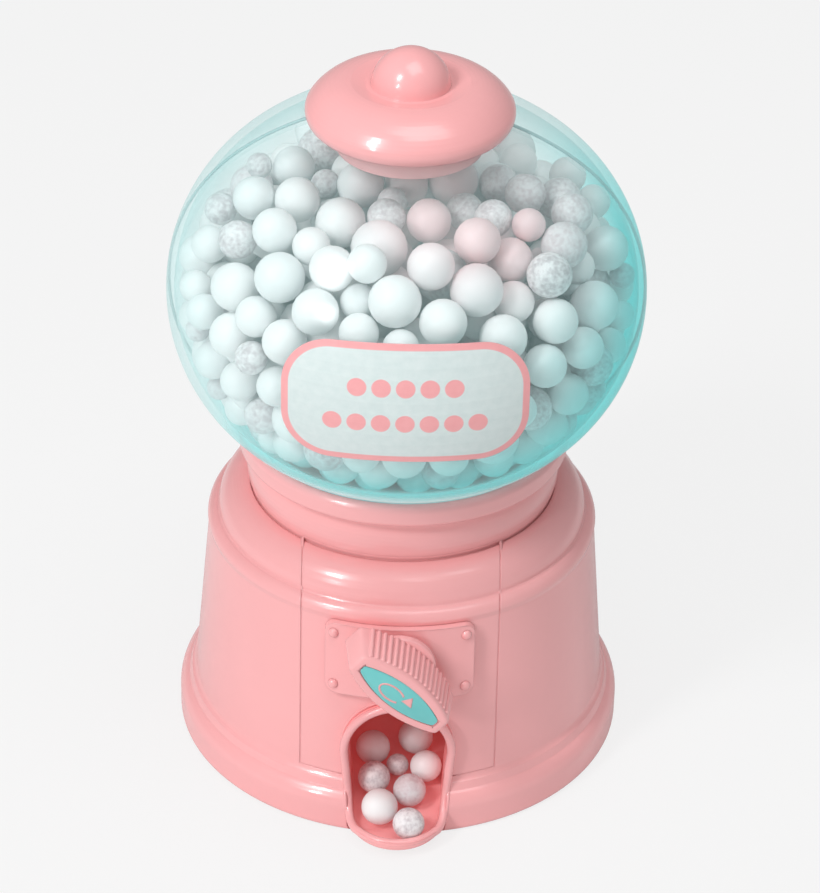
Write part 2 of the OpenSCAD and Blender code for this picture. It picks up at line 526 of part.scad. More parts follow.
// A poured and settled heap, in a globe of the inner radius heap_r and the inner rise heap_rise:
// x, y, height from the globe's middle, and diameter of each gumball
heap_r = 40.6;
heap_rise = 34.8;
HEAP = [
    [-2.6, -1.5, -30.9, 7.2], [-2.7, 5.5, -30.8, 6.6], [4.6, -2.9, -30.6, 7.2], [4.3, 5.5, -30.4, 7.2],
    [-8.9, 2.2, -30, 7.3], [-8.8, -4.9, -30, 6.7], [-1.8, 12.2, -29.4, 6.7], [11, 1.3, -29.1, 8.1],
    [-14.6, -1.6, -28.9, 6.2], [5, 13, -28.9, 6.7], [-8.6, 9.7, -28.7, 7.7], [10.9, 9, -28.6, 7.2],
    [6.5, -10.4, -28.4, 8.7], [13.4, -6.1, -28.4, 7.2], [-2.6, -9.8, -28.1, 9.3],
    [-14.3, -8.3, -27.9, 6.7], [-15.1, 5.6, -27.8, 7.2], [-4.1, -17.4, -27.6, 6.1],
    [-6.3, 16.8, -27.5, 6.2], [-9.9, -13.9, -27.4, 7.2], [18.2, -1.4, -27.4, 6.1],
    [0.7, 18.4, -26.5, 7.7], [3, -17.9, -26.4, 8.2], [10.7, -16.9, -25.9, 7.2],
    [8.2, 18.5, -25.8, 7.2], [17.8, 5.9, -25.8, 8.7], [19.8, -7.7, -25.2, 7.2], [-20.7, 1, -25, 8.1],
    [-15.3, 13.1, -25, 8.6], [-20.7, -7, -24.6, 7.7], [-16.8, -14.5, -24.4, 7.7],
    [17.4, -15.1, -24.4, 6.7], [15.4, 14.6, -24, 9.3], [-4.9, 22.9, -23.9, 7.2],
    [-5.8, -22.8, -23.8, 7.2], [23.9, -1.4, -23, 8.1], [-12.3, 20.8, -22.8, 8.1],
    [9.5, -23.3, -22.6, 7.2], [-24.3, 7.4, -22.5, 7.2], [2.1, -24.9, -22.5, 7.7],
    [13.2, 22.2, -22.4, 6.7], [6.6, 24.7, -22.3, 7.2], [-12.1, -24.1, -22.1, 5.8],
    [23.1, 11.1, -22, 7.7], [-27.3, 1.3, -21.7, 6.1], [-22.4, 14.4, -21.5, 7.2],
    [16.3, -21.3, -21.4, 7], [-17.3, 6.7, -21.1, 6.7], [-10.1, -17.5, -21, 7.2],
    [23.5, -12.8, -21, 7.7], [-27, -5.4, -20.7, 7.2], [-17.7, -21.2, -20.7, 6.9],
    [-3.8, -28.4, -20, 6.7], [-0.2, 27.7, -19.9, 8.1], [1.8, 20.6, -19.9, 6.1],
    [-19.4, 20.9, -19.8, 7.2], [9.3, -15.7, -19.4, 6.1], [27.8, 5, -19, 8.7], [-8.3, 27.6, -18.8, 8.1],
    [-23.6, -19.9, -18.3, 5.9], [19.6, 3.4, -18.3, 7.3], [28.4, -6.7, -18, 8.7],
    [-12.5, -28.4, -17.4, 6.7], [-21.2, -11.7, -17.3, 9.4], [23.9, -19.4, -17.1, 7.4],
    [-29.7, 6.9, -16.9, 8.2], [18.5, 23.8, -16.9, 8.7], [6.8, 30.1, -16.8, 7.7],
    [28.3, 13, -16.8, 7.2], [-28.6, -14.4, -16.4, 6.3], [16.4, -14.4, -16.4, 9.3],
    [-31.2, -1, -16.3, 7.7], [-4.8, -22.4, -16.3, 7.3], [10.5, 23.5, -16.3, 6.7],
    [19.2, 14.9, -16.3, 7.7], [-16, 26.7, -16, 8.1], [28.8, -14.2, -15.9, 6.6],
    [-27.6, 14.8, -15.8, 8.1], [-31.1, -8.3, -15.7, 6.7], [19.1, -25.2, -15.7, 7.7],
    [25.2, 19.6, -15.7, 7.2], [32.3, -0.4, -15.6, 6.7], [8.2, -31, -15.4, 7.3],
    [9.1, -21.4, -15.3, 7.7], [2.7, -25.1, -15.2, 6.7], [-7.1, -31.8, -15.1, 6.7],
    [0.3, -32, -15.1, 7.8], [-18.5, 15, -14.7, 8.1], [-12.3, -21.3, -14.7, 8],
    [-0.1, 32.9, -14.1, 7.2], [-24.2, 22, -13.7, 8.1], [32.5, 8.2, -13.2, 7.2], [-32.6, -13, -13, 4.4],
    [-24.3, -23.8, -12.8, 6.6], [-18.2, -27.9, -12.7, 7.7], [-3.3, 24.4, -12.7, 8.7],
    [33.5, -7.8, -12.6, 6.1], [13.9, 29.9, -12.4, 8.7], [22.7, -9.7, -12.4, 8.1],
    [-19.3, -18.4, -12.2, 7.8], [32.9, -13.3, -12, 4.7], [-12.8, -32.3, -11.9, 6.1],
    [14.7, -30.8, -11.9, 7.3], [-7.8, 32.4, -11.7, 8.7], [-34.3, 3.6, -11.1, 7.2],
    [-26.7, -11, -10.7, 7.3], [-28.9, -18.5, -10.4, 8.1], [7.3, 34, -10.4, 7.2],
    [26.9, -2.5, -10.4, 8.7], [-7.8, -26.4, -10.3, 7.7], [-34.3, -4.7, -10.1, 7.7],
    [-29.5, 18.7, -10, 6.1], [28.4, 21.4, -10, 6.2], [14.5, -22.8, -9.8, 7.7], [26.5, 14.6, -9.6, 7.7],
    [-12.1, 25.9, -9.4, 7.2], [34.9, 2.2, -9.2, 7.7], [5.2, -34.4, -9.1, 8.1],
    [21.5, -17.8, -9.1, 9.3], [-32.2, 11.4, -9, 9.3], [20.5, 20.3, -9, 8.7], [21, 28.4, -8.9, 7.2],
    [-20.5, 27.9, -8.8, 8.7], [7, -26.1, -8.5, 8.7], [20.3, -29.8, -7.9, 6.4],
    [29.2, -10.7, -7.9, 7.3], [-33.8, -11.6, -7.6, 6.8], [-5.1, -34.3, -7.6, 9.3],
    [29.2, -20.7, -7.2, 7.3], [0.6, 35.6, -7.1, 7.7], [35.6, -8, -6.6, 6.3], [-3.1, 29.1, -6.5, 6.7],
    [34.1, 11.1, -6.3, 7.7], [-30.1, 0.2, -6.1, 7.2], [-28.7, -6.4, -6.1, 6.1], [-14.1, 32.8, -6, 8.1],
    [-16, -32.1, -5.9, 7.2], [-27, 23.7, -5.8, 7.7], [-21, -22.3, -5.6, 7.7], [8.6, 29.1, -5.2, 6.1],
    [26.1, 8, -5.1, 8.1], [23.9, -24.9, -5, 6.7], [33.3, -15.5, -4.6, 6.7], [14.2, -28.4, -4.4, 7.7],
    [14.8, 32.8, -4.4, 8.1], [-28.3, -23.2, -4.3, 7], [-10.1, -29.2, -4.3, 6.2],
    [-36.1, 5.3, -4.2, 7.3], [26.3, 24.9, -4.2, 7.7], [31.1, 18.2, -4.1, 8.1],
    [-31.9, 18.3, -3.9, 6.8], [-6.6, 35.5, -3.7, 8.1], [-22.1, -29.3, -3.5, 6.9],
    [-36.9, -9.5, -3.4, 4.2], [-36.7, -3.1, -3.4, 6.7], [31.8, -2.2, -3.3, 8.1],
    [-16, 23.4, -3.1, 8.1], [7.9, -31.4, -3.1, 6.1], [-31.9, -16.7, -3, 7.3], [7.3, 35.7, -3, 7.7],
    [17.7, -21.9, -2.9, 7.2], [26.4, -15.2, -2.8, 7.2], [1.3, -36.6, -2.7, 7.2],
    [-23.7, 28.7, -2.1, 6.1], [36.1, 4.9, -2, 7.7], [-26.9, 13.7, -1.9, 7.2], [37.3, -5.7, -1.5, 5.2],
    [22.1, 19.6, -1.4, 6.7], [-34.8, 11.8, -1, 7.1], [-10.8, 28.4, -0.9, 6.7], [21.2, 29.7, -0.8, 7.7],
    [-32.2, -7.6, -0.5, 7.1], [32, -9.7, -0.3, 7.8], [21.7, -10.3, -0.1, 7.2],
    [-16.6, -25.4, 0.1, 7.7], [29.7, -21.5, 0.3, 7.4], [-19, -17.6, 0.6, 8.1], [-4.9, -33.5, 0.7, 7.2],
    [-1.5, -26.3, 0.7, 7.7], [0, 36.5, 0.7, 7.7], [-3.6, 29.6, 0.8, 7.7], [-26, -26.9, 1.1, 5.9],
    [-12.4, 34.9, 1.1, 6.7], [22.8, -28.7, 1.1, 7.5], [28.3, 12.8, 1.1, 7.7], [-18.3, 30.9, 1.3, 7.2],
    [-28.9, -0.9, 1.5, 8.2], [-28.8, 22.4, 1.7, 7.7], [-13.1, -33.2, 1.9, 9.3], [13, -33.5, 2, 8.7],
    [-36.5, 1.4, 2.1, 7.3], [-9.1, -25.6, 2.3, 7.7], [28.8, 4.3, 2.4, 9.3], [-34.6, -13.4, 2.5, 6.4],
    [14.2, 28.8, 2.5, 7.7], [-26.6, -13, 2.7, 9.3], [-29.6, -21.1, 2.8, 7.8], [-27.4, 6.9, 2.9, 7.7],
    [27.5, -4.1, 2.9, 7.2], [22.1, -18.7, 3.1, 8.7], [28.5, 21.7, 3.2, 8.6], [15.9, -25.8, 3.3, 7.7],
    [35.1, 10.3, 3.3, 7.3], [-21.1, 11.1, 3.6, 7.2], [-12.5, -14.6, 3.6, 7.2], [4.1, -32.1, 3.7, 9.3],
    [6.2, 30.8, 3.7, 8.7], [-15.7, 25, 4.2, 6.7], [3.2, -21.1, 4.2, 7.7], [18.2, 22.3, 4.2, 7.7],
    [36.4, 0.5, 4.2, 7.3], [-24, 27.4, 4.6, 7.2], [-36.3, -7.8, 4.7, 5.8], [-32.4, 16.1, 4.8, 7.7],
    [0.6, 25.9, 5.1, 6.2], [32.1, -15.7, 5.3, 8.4], [1.4, -6.4, 5.4, 8.1], [-20.4, -29.6, 5.5, 7.7],
    [-15.7, 1.2, 5.5, 6.2], [-6.8, -5.3, 5.5, 7.2], [16.7, -6.5, 5.5, 9.4], [9, 0.9, 5.6, 6.8],
    [23.4, 16.4, 5.6, 6.7], [-34.8, 8.1, 5.7, 8], [-7, 1.8, 5.9, 6.7], [23.5, 27.4, 6, 7.2],
    [37, -5.2, 6, 4.5], [-22.1, -4.2, 6.1, 9.3], [10.2, 9.7, 6.1, 6.7], [-5.4, -12.9, 6.2, 8.1],
    [22.2, 0.1, 6.2, 7.7], [1.2, 1.8, 6.3, 8.1], [-25, 16.7, 6.4, 7.2], [1.7, 18.7, 6.4, 8.2],
    [10.9, 17, 6.4, 7.8], [-6, 25.3, 6.6, 7.3], [10.3, -12.2, 6.6, 7.8], [-19, -12.2, 6.7, 7.7],
    [-8.6, -19.7, 6.7, 6.7], [25.5, -10.6, 6.7, 8.1], [17.7, 9.4, 7.1, 8.1], [25.2, 9.9, 7.1, 6.7],
    [10.9, -20.5, 7.2, 8.7], [-15.5, -22.3, 7.3, 7.8], [-8, 34.1, 7.4, 8.6], [-1.5, -36.3, 7.4, 6.3],
    [25, -25.1, 7.6, 7.8], [31.8, 15.6, 7.7, 7.7], [10.3, 24.7, 7.8, 7.7], [-25.5, -24.7, 8.1, 7.2],
    [17.6, -14.4, 8.2, 7.2], [-32.2, 1.2, 8.3, 7.3], [-22.5, 4.1, 8.3, 7.7], [0.5, 35, 8.5, 8.1],
    [-28.1, 10.9, 8.6, 6.1], [-18.5, 30.1, 8.7, 7.2], [-16.1, 8.7, 8.7, 7.7], [15.3, 2.2, 8.7, 7.2],
    [-12.1, 28, 8.8, 6.1], [-27.3, 22.9, 8.9, 6.7], [-2.8, -24.4, 9, 8.7], [12.3, 32.8, 9, 7.7],
    [-20, 21.8, 9.3, 7.7], [15.7, -30.7, 9.7, 8.2], [-3.5, 6.4, 10.1, 6.8], [17.9, -23.2, 10.1, 7.2],
    [-8.4, -34, 10.2, 6.8], [-10, 5.5, 10.3, 6.1], [17.3, 27.3, 10.3, 7.2], [-29.1, -17.9, 10.4, 8.4],
    [15.5, 20.7, 10.4, 6.1], [6.6, 5.5, 10.5, 7.2], [32.1, 7.5, 10.6, 9.3], [-0.4, -16.8, 10.7, 7.2],
    [5.6, 13.1, 10.7, 7.7], [24.4, 21.5, 10.8, 7.8], [-34, -7, 11, 6.6], [33.1, -5, 11, 8],
    [5.2, -25, 11.2, 7.7], [5.9, -1.5, 11.2, 6.7], [-10.5, 21, 11.3, 8.1], [-2.3, 13.7, 11.6, 8.1],
    [-15.5, -30.1, 11.7, 7.9], [-3.8, -1.5, 11.7, 7.7], [-21.6, -16.8, 11.8, 6.7],
    [-10.5, -16.2, 11.8, 6.1], [-10.3, 13, 11.8, 7.7], [-10.9, -3, 11.9, 6.7],
    [29.8, -13.3, 11.9, 6.1], [-20.7, 14.1, 12, 7.7], [7, -32.8, 12, 8.1], [6.1, -8.5, 12.2, 7.2],
    [-17.6, -0.8, 12.3, 7.2], [-15.6, -8.3, 12.3, 7.2], [22.2, 4.7, 12.3, 7.3],
    [-8.7, -27.8, 12.5, 6.3], [-1.6, -9.2, 12.5, 8.1], [7.2, -15.8, 12.6, 7.2],
    [20.9, -9.9, 12.6, 6.7], [-2.4, 21.6, 12.8, 7.7], [25.4, -3, 12.9, 8.2], [12.9, -3.8, 13, 8.1],
    [22.7, 13.9, 13, 8.1], [-26.6, -0.4, 13.2, 7.7], [5.5, 29.5, 13.2, 9.3], [-23.3, -9.2, 13.3, 8.1],
    [6, 20.7, 13.4, 8.2], [-1.4, -32, 13.8, 9], [13.9, 13.4, 14, 9.4], [-3.8, 29.9, 14.4, 9.3],
    [-20.8, -24.1, 14.6, 8.7], [23.8, -21.8, 14.7, 7.8], [1.9, 8.4, 14.9, 6.7],
    [12.6, 25.4, 15.9, 7.7], [32.3, 1.5, 15.9, 6.4], [-16.3, 25.5, 16.1, 9.2], [-29.1, -13, 16.2, 6.7],
    [-6.8, 7.8, 16.5, 7.8], [17.6, -17.3, 16.7, 7.8], [2.9, -19.5, 16.9, 6.7], [11.9, -27.5, 16.9, 9],
    [-32, -2, 17, 5.6], [-15, 16.9, 17, 8.1], [-7.1, 17.2, 17.2, 7.2], [19.1, 20.3, 17.3, 8.7],
    [-5.3, -18.3, 17.5, 9.7], [-15.6, -18.8, 17.6, 6.7], [25.9, -14.7, 17.8, 8.1],
    [15.9, 5.1, 17.9, 6.9], [7, 11.7, 18, 6.7], [-0.5, 2.1, 18.3, 8.1], [1.3, 16.4, 18.3, 7.8],
    [8, 3.8, 18.4, 8.9], [-13.6, -26, 18.5, 7.8], [-12, -11.9, 18.5, 8.7], [-8.6, -0.8, 18.8, 8.2],
    [3.4, -26.8, 18.8, 8.1], [10.1, -19.3, 18.8, 8], [-18.7, -5.6, 18.9, 7.9], [-14.6, 2.3, 18.9, 5.1],
    [-22.4, -16.5, 19, 7.6], [-5.8, -27, 19, 7.7], [3.2, -12, 19, 7.8], [9.3, -6.4, 19, 6.6],
    [-2.7, -4.3, 19.1, 5.3], [28.1, -7.3, 19.1, 7.4], [-20, 6, 19.2, 7.5], [20, -2, 19.3, 7.2],
    [-26.5, -5.7, 19.4, 7.1], [-4.3, -10.3, 19.5, 6.7], [13.6, -11.5, 19.5, 6.7],
    [27.6, 4.2, 19.6, 6.6], [19.9, -11.6, 19.8, 5.8], [-26, 5, 20, 4.6], [-14, -8.1, -21.3, 6.3],
    [-9.4, 0, -21.3, 9.2], [-4.7, 8.1, -21.3, 9.2], [0, 0, -21.3, 9.2], [4.7, -8.1, -21.3, 6.5],
    [4.7, 8.1, -21.3, 9.2], [9.4, 0, -21.3, 7.8], [14, -8.1, -21.3, 6.6], [-16.4, 2.7, -13.6, 9.2],
    [-11.7, -5.4, -13.6, 9.2], [-11.7, 10.8, -13.6, 7.9], [-7, -13.5, -13.6, 9.2],
    [-2.3, -5.4, -13.6, 9.2], [2.3, -13.5, -13.6, 9.2], [2.3, 18.9, -13.6, 6.6], [7, -5.4, -13.6, 9.2],
    [16.4, -5.4, -13.6, 7.1], [-23.4, 8.1, -6, 8.1], [-18.7, 16.2, -6, 8.1], [-9.4, 0, -6, 9.2],
    [-9.4, 16.2, -6, 9.2], [-4.7, 8.1, -6, 9.2], [0, 0, -6, 9.2], [0, 16.2, -6, 9.2],
    [4.7, 8.1, -6, 9.2], [4.7, 24.3, -6, 6.2], [9.4, -16.2, -6, 9.2], [9.4, 0, -6, 9.2],
    [9.4, 16.2, -6, 9.2], [14, -8.1, -6, 9.2], [14, 8.1, -6, 9.2], [14, 24.3, -6, 7.4],
    [18.7, 0, -6, 9.2], [-11.7, 10.8, 1.6, 9.2], [2.3, -13.5, 1.6, 7.8]
];

// The heap follows the globe. A gumball with no room, or over the filling height, is left out
module gumballs() {
    wide = (globe_r - globe_wall) / heap_r;
    tall = (globe_rise - globe_wall) / heap_rise;
    color("white") for (b = HEAP) {
        r = b[3] / 2 * min(wide, tall) * ball_fill;
        x = norm([b[0], b[1]]) * wide;
        h = b[2] * tall;
        on_funnel = (globe_z + h - funnel_at(x)) * cos(funnel_slope);
        if (globe_room(x, h) > r + seat && on_funnel > r + seat && globe_z + h + r < fill_z)
            translate([b[0] * wide, b[1] * wide, globe_z + h]) sphere(r = r, $fn = 32);
    }
}

// What the last turns dropped: x, y and diameter of each gumball on the floor and the ramp
module tray_gumballs() {
    dropped = [[2.2, -43, 5.7], [-3, -39.4, 6.5], [2.3, -35.4, 5.9], [-4.1, -32.7, 5.8],
               [5.2, -30, 5.7], [0.1, -29, 4], [3.3, -23.8, 6.3], [-4.4, -26.3, 6.2]];
    slope = atan2(ramp_back_z - tray_floor_z, trough_back - ramp_front_y);
    color("white") for (b = dropped)
        translate([b[0], b[1], ramp_at(b[1]) + b[2] / 2 / cos(slope) + seat]) sphere(d = b[2], $fn = 32);
}

// ---------------------------------------------------------------- base

// Solid inside the base's outline, grown by g
module base_solid(g = 0) {
    spin(concat([[0, -g]], base_outline(g), [[0, roll_top_z + g]]));
}

// Walls of the base, from the foot to the roll
module base_walls() {
    spin(concat(base_outline(), base_inline()));
}

// The window in the base that the front panel fills, smaller by gap on each side
module panel_window(gap) {
    difference() {
        slab(-panel_half_w + gap, panel_half_w - gap, -far, 0, flange_h + 0.3 + gap, roll_top_z + 1);
        cylinder(r = ring_r + 0.1 + gap, h = far);
    }
}

module base_body() {
    color("lightpink") {
        difference() {
            union() {
                base_walls();
                spin(concat(
                    [[ring_r - base_wall, roll_top_z - base_wall - 1.2],
                     [ring_r + 0.15, roll_top_z - base_wall]],
                    arc(ring_r - 9.4, (roll_top_z + ring_top_z) / 2 - 0.3, 10, -22, 18, 8),
                    [[ring_r, ring_top_z - 0.4], [ring_r - 0.5, ring_top_z],
                     [ring_r - base_wall, ring_top_z]]));
                intersection() {
                    cover_posts();
                    base_solid(-base_wall / 2);
                }
            }
            panel_window(0);
            // notch for the chute through the foot flange
            along_y(-far, -tunnel_back) mouth_outline(-slip, -1);
            for (a = post_angles) rotate([0, 0, a]) translate([post_ring_r, 0, 0])
                cylinder(r = pilot_r, h = cover_z + cover_screw_l + 1.5);
        }
    }
}

// Posts that take the cover's screws, each with a web to the wall
module cover_posts() {
    low = cover_z + cover_t + seat;
    for (a = post_angles) rotate([0, 0, a]) {
        translate([post_ring_r, 0, low]) cylinder(r = post_r, h = post_top_z - low);
        translate([post_ring_r, -0.8, low + 2]) cube([far, 1.6, post_top_z - low - 4]);
    }
}

// Outline of the chute's mouth, in X and Z, moved inwards by g: an arch on sides that
// draw in towards a round-edged bottom
module mouth_outline(g, bottom = tray_low_z) {
    low = bottom + g;
    edge = max(0.5, tray_edge_r - g);
    side = chute_out - g - chute_draft * (arch_z - low - edge);
    intersection() {
        translate([0, arch_z]) circle(chute_out - g);
        translate([-chute_out, arch_z - 1]) square([2 * chute_out, 2 * chute_out]);
    }
    polygon(concat([[chute_out - g, arch_z], [g - chute_out, arch_z]],
        arc(edge - side, low + edge, edge, 180, 270, 8),
        arc(side - edge, low + edge, edge, 270, 360, 8)));
}

// Skin inside the wall, from 1.3 mm behind its inner face out to the depth given
module lining(depth) {
    low = flange_h + 1.5;
    high = shoulder_z - 1.5;
    back = base_wall + 1.3;
    spin([[wall_low_r - back, low], [wall_low_r - depth, low],
          [wall_high_r - depth, high], [wall_high_r - back, high]]);
}

module front_panel() {
    lap = 2;
    color("pink") difference() {
        union() {
            intersection() {
                base_walls();
                panel_window(0.15);
            }
            // strips behind the panel that lap inside the base
            intersection() {
                lining(base_wall + 0.2);
                for (s = [-1, 1]) translate([s * panel_half_w, -far / 2, 0])
                    cube([2 * lap, far, far], center = true);
            }
            intersection() {
                lining(base_wall / 2);
                for (s = [-1, 1]) translate([s * (panel_half_w - 0.15 - lap / 2), -far / 2, 0])
                    cube([lap, far, 2 * far], center = true);
            }
        }
        along_y(-far, 0) mouth_outline(-slip);
        rod_y(bush_r + running, -far, 0);
    }
}

// Turns and moves its children to the plate's face at (x, z), with -Y pointing outwards
module on_plate(x, z) {
    r = wall_at(z) + plate_t;
    rotate([0, 0, asin(x / r)]) translate([0, -r, z]) rotate([-wall_taper, 0, 0]) children();
}

// The four rivet places
module rivet_places() {
    for (x = [-1, 1], z = [-1, 1])
        on_plate(x * rivet_pitch_x / 2, plate_z + z * rivet_pitch_z / 2) children();
}

module knob_plate() {
    color("lightpink") difference() {
        intersection() {
            base_solid(plate_t);
            along_y(-far, 0) translate([0, plate_z]) rounded(plate_w, plate_h, 2);
        }
        base_solid(seat);
        rod_y(bush_r + running, -far, 0);
        rivet_places() rod_y(rivet_shank_r + running, -2, rivet_depth, 0, 0);
    }
}

module plate_rivets() {
    head_sphere = (pow(rivet_r, 2) + pow(rivet_rise, 2)) / (2 * rivet_rise);
    color("lightpink") rivet_places() {
        intersection() {
            translate([0, head_sphere - rivet_rise - running, 0]) sphere(r = head_sphere);
            slab(-2, 2, -2, -running, -2, 2);
        }
        rod_y(rivet_shank_r, -0.3, rivet_depth - running, 0, 0);
    }
}

module bottom_cover() {
    color("lightpink") difference() {
        union() {
            translate([0, 0, cover_z]) cylinder(r = cover_r, h = cover_t);
            // stiffening rings on the underside
            for (r = [12, 24]) translate([0, 0, cover_z - 0.8]) difference() {
                cylinder(r = r + 0.6, h = 1);
                translate([0, 0, -1]) cylinder(r = r - 0.6, h = 3);
            }
        }
        for (a = post_angles) rotate([0, 0, a]) translate([post_ring_r, 0, 0])
            cylinder(r = screw_clear_r, h = far);
        for (x = [-foot_x, foot_x]) translate([x, foot_y, 0]) cylinder(r = screw_clear_r, h = far);
        slab(-chute_out - slip, chute_out + slip, -far, -tunnel_back + slip, 0, far);
    }
}

// Pan-head screw that points up from the underside of its head at z
module screw_up(z, length) {
    translate([0, 0, z - screw_head_h]) difference() {
        cylinder(r = screw_head_r, h = screw_head_h);
        for (t = [0, 90]) rotate([0, 0, t]) cube([2.4, 0.5, 1.2], center = true);
    }
    translate([0, 0, z - 0.1]) cylinder(r = screw_r, h = length);
}

module cover_screws() {
    color("silver") {
        for (a = post_angles) rotate([0, 0, a]) translate([post_ring_r, 0, 0])
            screw_up(cover_z - running, cover_screw_l);
        for (x = [-foot_x, foot_x]) translate([x, foot_y, 0]) screw_up(cover_z - running, ramp_screw_l);
    }
}

// ---------------------------------------------------------------- hopper and wheel

module hopper() {
    lower = hopper_wall / cos(funnel_slope);
    step_r = ledge_inner_r - slip;
    color("white") difference() {
        union() {
            spin([[throat_r, spout_z], [throat_r + hopper_wall, spout_z],
                  [throat_r + hopper_wall, funnel_at(throat_r + hopper_wall) - lower],
                  [step_r, funnel_at(step_r) - lower], [step_r, hopper_rim_z],
                  [hopper_rim_r, hopper_rim_z], [hopper_rim_r, hopper_top_z],
                  [funnel_high_r, hopper_top_z], [throat_r, funnel_low_z]]);
            for (x = [-1, 1]) difference() {
                translate([x * lug_x, 0, spout_z]) cylinder(r = boss_r, h = 12);
                spin([[0, funnel_low_z - 0.5], [throat_r, funnel_low_z - 0.5],
                      [funnel_high_r, hopper_top_z - 0.5], [funnel_high_r, far], [0, far]]);
            }
        }
        for (x = [-1, 1]) translate([x * lug_x, 0, spout_z - 1])
            cylinder(r = pilot_r, h = housing_screw_l + 0.2);
    }
}

module wheel_housing() {
    color("white") difference() {
        union() {
            rod_y(housing_out_r, housing_front_y, housing_half);
            // plate on top that meets the hopper's spout, with a lug at each end
            translate([0, 0, housing_top_z - lug_t]) {
                translate([-throat_r - 3, housing_front_y, 0])
                    cube([2 * throat_r + 6, housing_half - housing_front_y, lug_t]);
                translate([-lug_x, -lug_half_w, 0]) cube([2 * lug_x, 2 * lug_half_w, lug_t]);
                for (x = [-1, 1]) translate([x * lug_x, 0, 0]) cylinder(r = lug_half_w, h = lug_t);
            }
        }
        rod_y(housing_in_r, -housing_half, far);
        rod_y(shaft_r + slip, -far, 0);
        translate([0, 0, axis_z]) cylinder(r = throat_r, h = far);
        // outlet towards the ramp
        slab(-throat_r + 0.6, throat_r - 0.6, -housing_half, housing_half + 1, 0, axis_z);
        for (x = [-1, 1]) translate([x * lug_x, 0, 0]) cylinder(r = screw_clear_r, h = far);
    }
}

module housing_cap() {
    color("white") difference() {
        union() {
            rod_y(housing_out_r, housing_half + seat, cap_back_y);
            rod_y(bush_r + 1.6, cap_back_y - 0.1, cap_back_y + cap_boss_h);
            // register that centres the cap in the housing
            difference() {
                rod_y(housing_in_r - seat, housing_half - 0.3, cap_back_y - 0.1);
                rod_y(housing_in_r - seat - 0.4, -far, far);
            }
        }
        rod_y(bush_r + running, -far, far);
    }
}

module housing_screws() {
    color("silver") for (x = [-1, 1]) translate([x * lug_x, 0, 0])
        screw_up(housing_top_z - lug_t - running, housing_screw_l);
}

// Shaft with a flat that drives the knob and the wheel, grown by g
module d_shaft(from, to, g = 0) {
    intersection() {
        rod_y(shaft_r + g, from, to);
        slab(-far, far, -far, far, -far, axis_z + shaft_r - flat_depth + g);
    }
}

module drive_shaft() {
    neck_front = plate_face + knob_gap / 2;
    color("white") difference() {
        union() {
            d_shaft(-shaft_front, -neck_front + 0.5);
            rod_y(shaft_r, -neck_front, -wheel_length / 2 - 0.3);
            d_shaft(-wheel_length / 2 - 0.8, wheel_length / 2 + 0.3);
            rod_y(shaft_r, wheel_length / 2 + 0.2, shaft_back);
        }
        rod_y(pilot_r, shaft_back - 6, far);
    }
}

module paddle_wheel() {
    half = wheel_length / 2;
    color("mistyrose") difference() {
        union() {
            rod_y(hub_r, -half, half);
            for (i = [0 : vane_count - 1]) translate([0, 0, axis_z])
                rotate([0, 180 / vane_count + 360 * i / vane_count, 0])
                    translate([-vane_t / 2, -half + 0.2, hub_r - 0.6])
                        cube([vane_t, wheel_length - 0.7, vane_r - hub_r + 0.4]);
            // web that closes the pockets at the back
            rod_y(vane_r, half - 1, half);
        }
        // the flat runs the wheel's whole length
        intersection() {
            rod_y(shaft_r + running, -far, far);
            slab(-far, far, -far, far, -far, axis_z + shaft_r - flat_depth + running);
        }
    }
}

module shaft_washer() {
    color("silver") difference() {
        rod_y(bush_r + 0.6, shaft_back + running, shaft_back + running + washer_t);
        rod_y(pilot_r + 0.1, -far, far);
    }
}

module shaft_screw() {
    back = shaft_back + 2 * running + washer_t;
    color("silver") translate([0, back, axis_z]) rotate([90, 0, 0]) screw_up(0, shaft_screw_l);
}

module front_bush() {
    color("white") difference() {
        union() {
            rod_y(bush_r, -plate_face + 0.1, -wall_at(axis_z) + base_wall + 1.6);
            rod_y(bush_r + 1.2, -wall_at(axis_z) + base_wall + 0.6, -wall_at(axis_z) + base_wall + 1.6);
        }
        rod_y(shaft_r + running, -far, far);
    }
}

module rear_bush() {
    color("white") difference() {
        rod_y(bush_r, housing_half + 0.3, cap_back_y + cap_boss_h + 0.2);
        rod_y(shaft_r + running, -far, far);
    }
}

// ---------------------------------------------------------------- knob

// Turns its children about the shaft to the thumb bar's angle
module bar_turn() {
    translate([0, 0, axis_z]) rotate([0, bar_tilt, 0]) translate([0, 0, -axis_z]) children();
}

// Turns its children so that their Z runs forwards along the shaft, from the disc's front
module from_disc() {
    bar_turn() translate([0, -bar_back, axis_z]) rotate([90, 0, 0]) children();
}

// One long side of the thumb bar: a slightly conical wall of large radius
module bar_side(way) {
    translate([0, way * (bar_width / 2 - bar_arc_r), -0.2])
        cylinder(r1 = bar_arc_r + bar_draft * (1 + 0.2 / bar_depth), r2 = bar_arc_r,
                 h = bar_depth + 0.2, $fn = 180);
}

module bar_ends() {
    half = bar_length / 2;
    rotate([90, 0, 0]) linear_extrude(3 * bar_width, center = true)
        polygon([[-half - bar_draft, -0.2], [half + bar_draft, -0.2],
                 [half + bar_draft, 0], [half, bar_depth], [-half, bar_depth], [-half - bar_draft, 0]]);
}

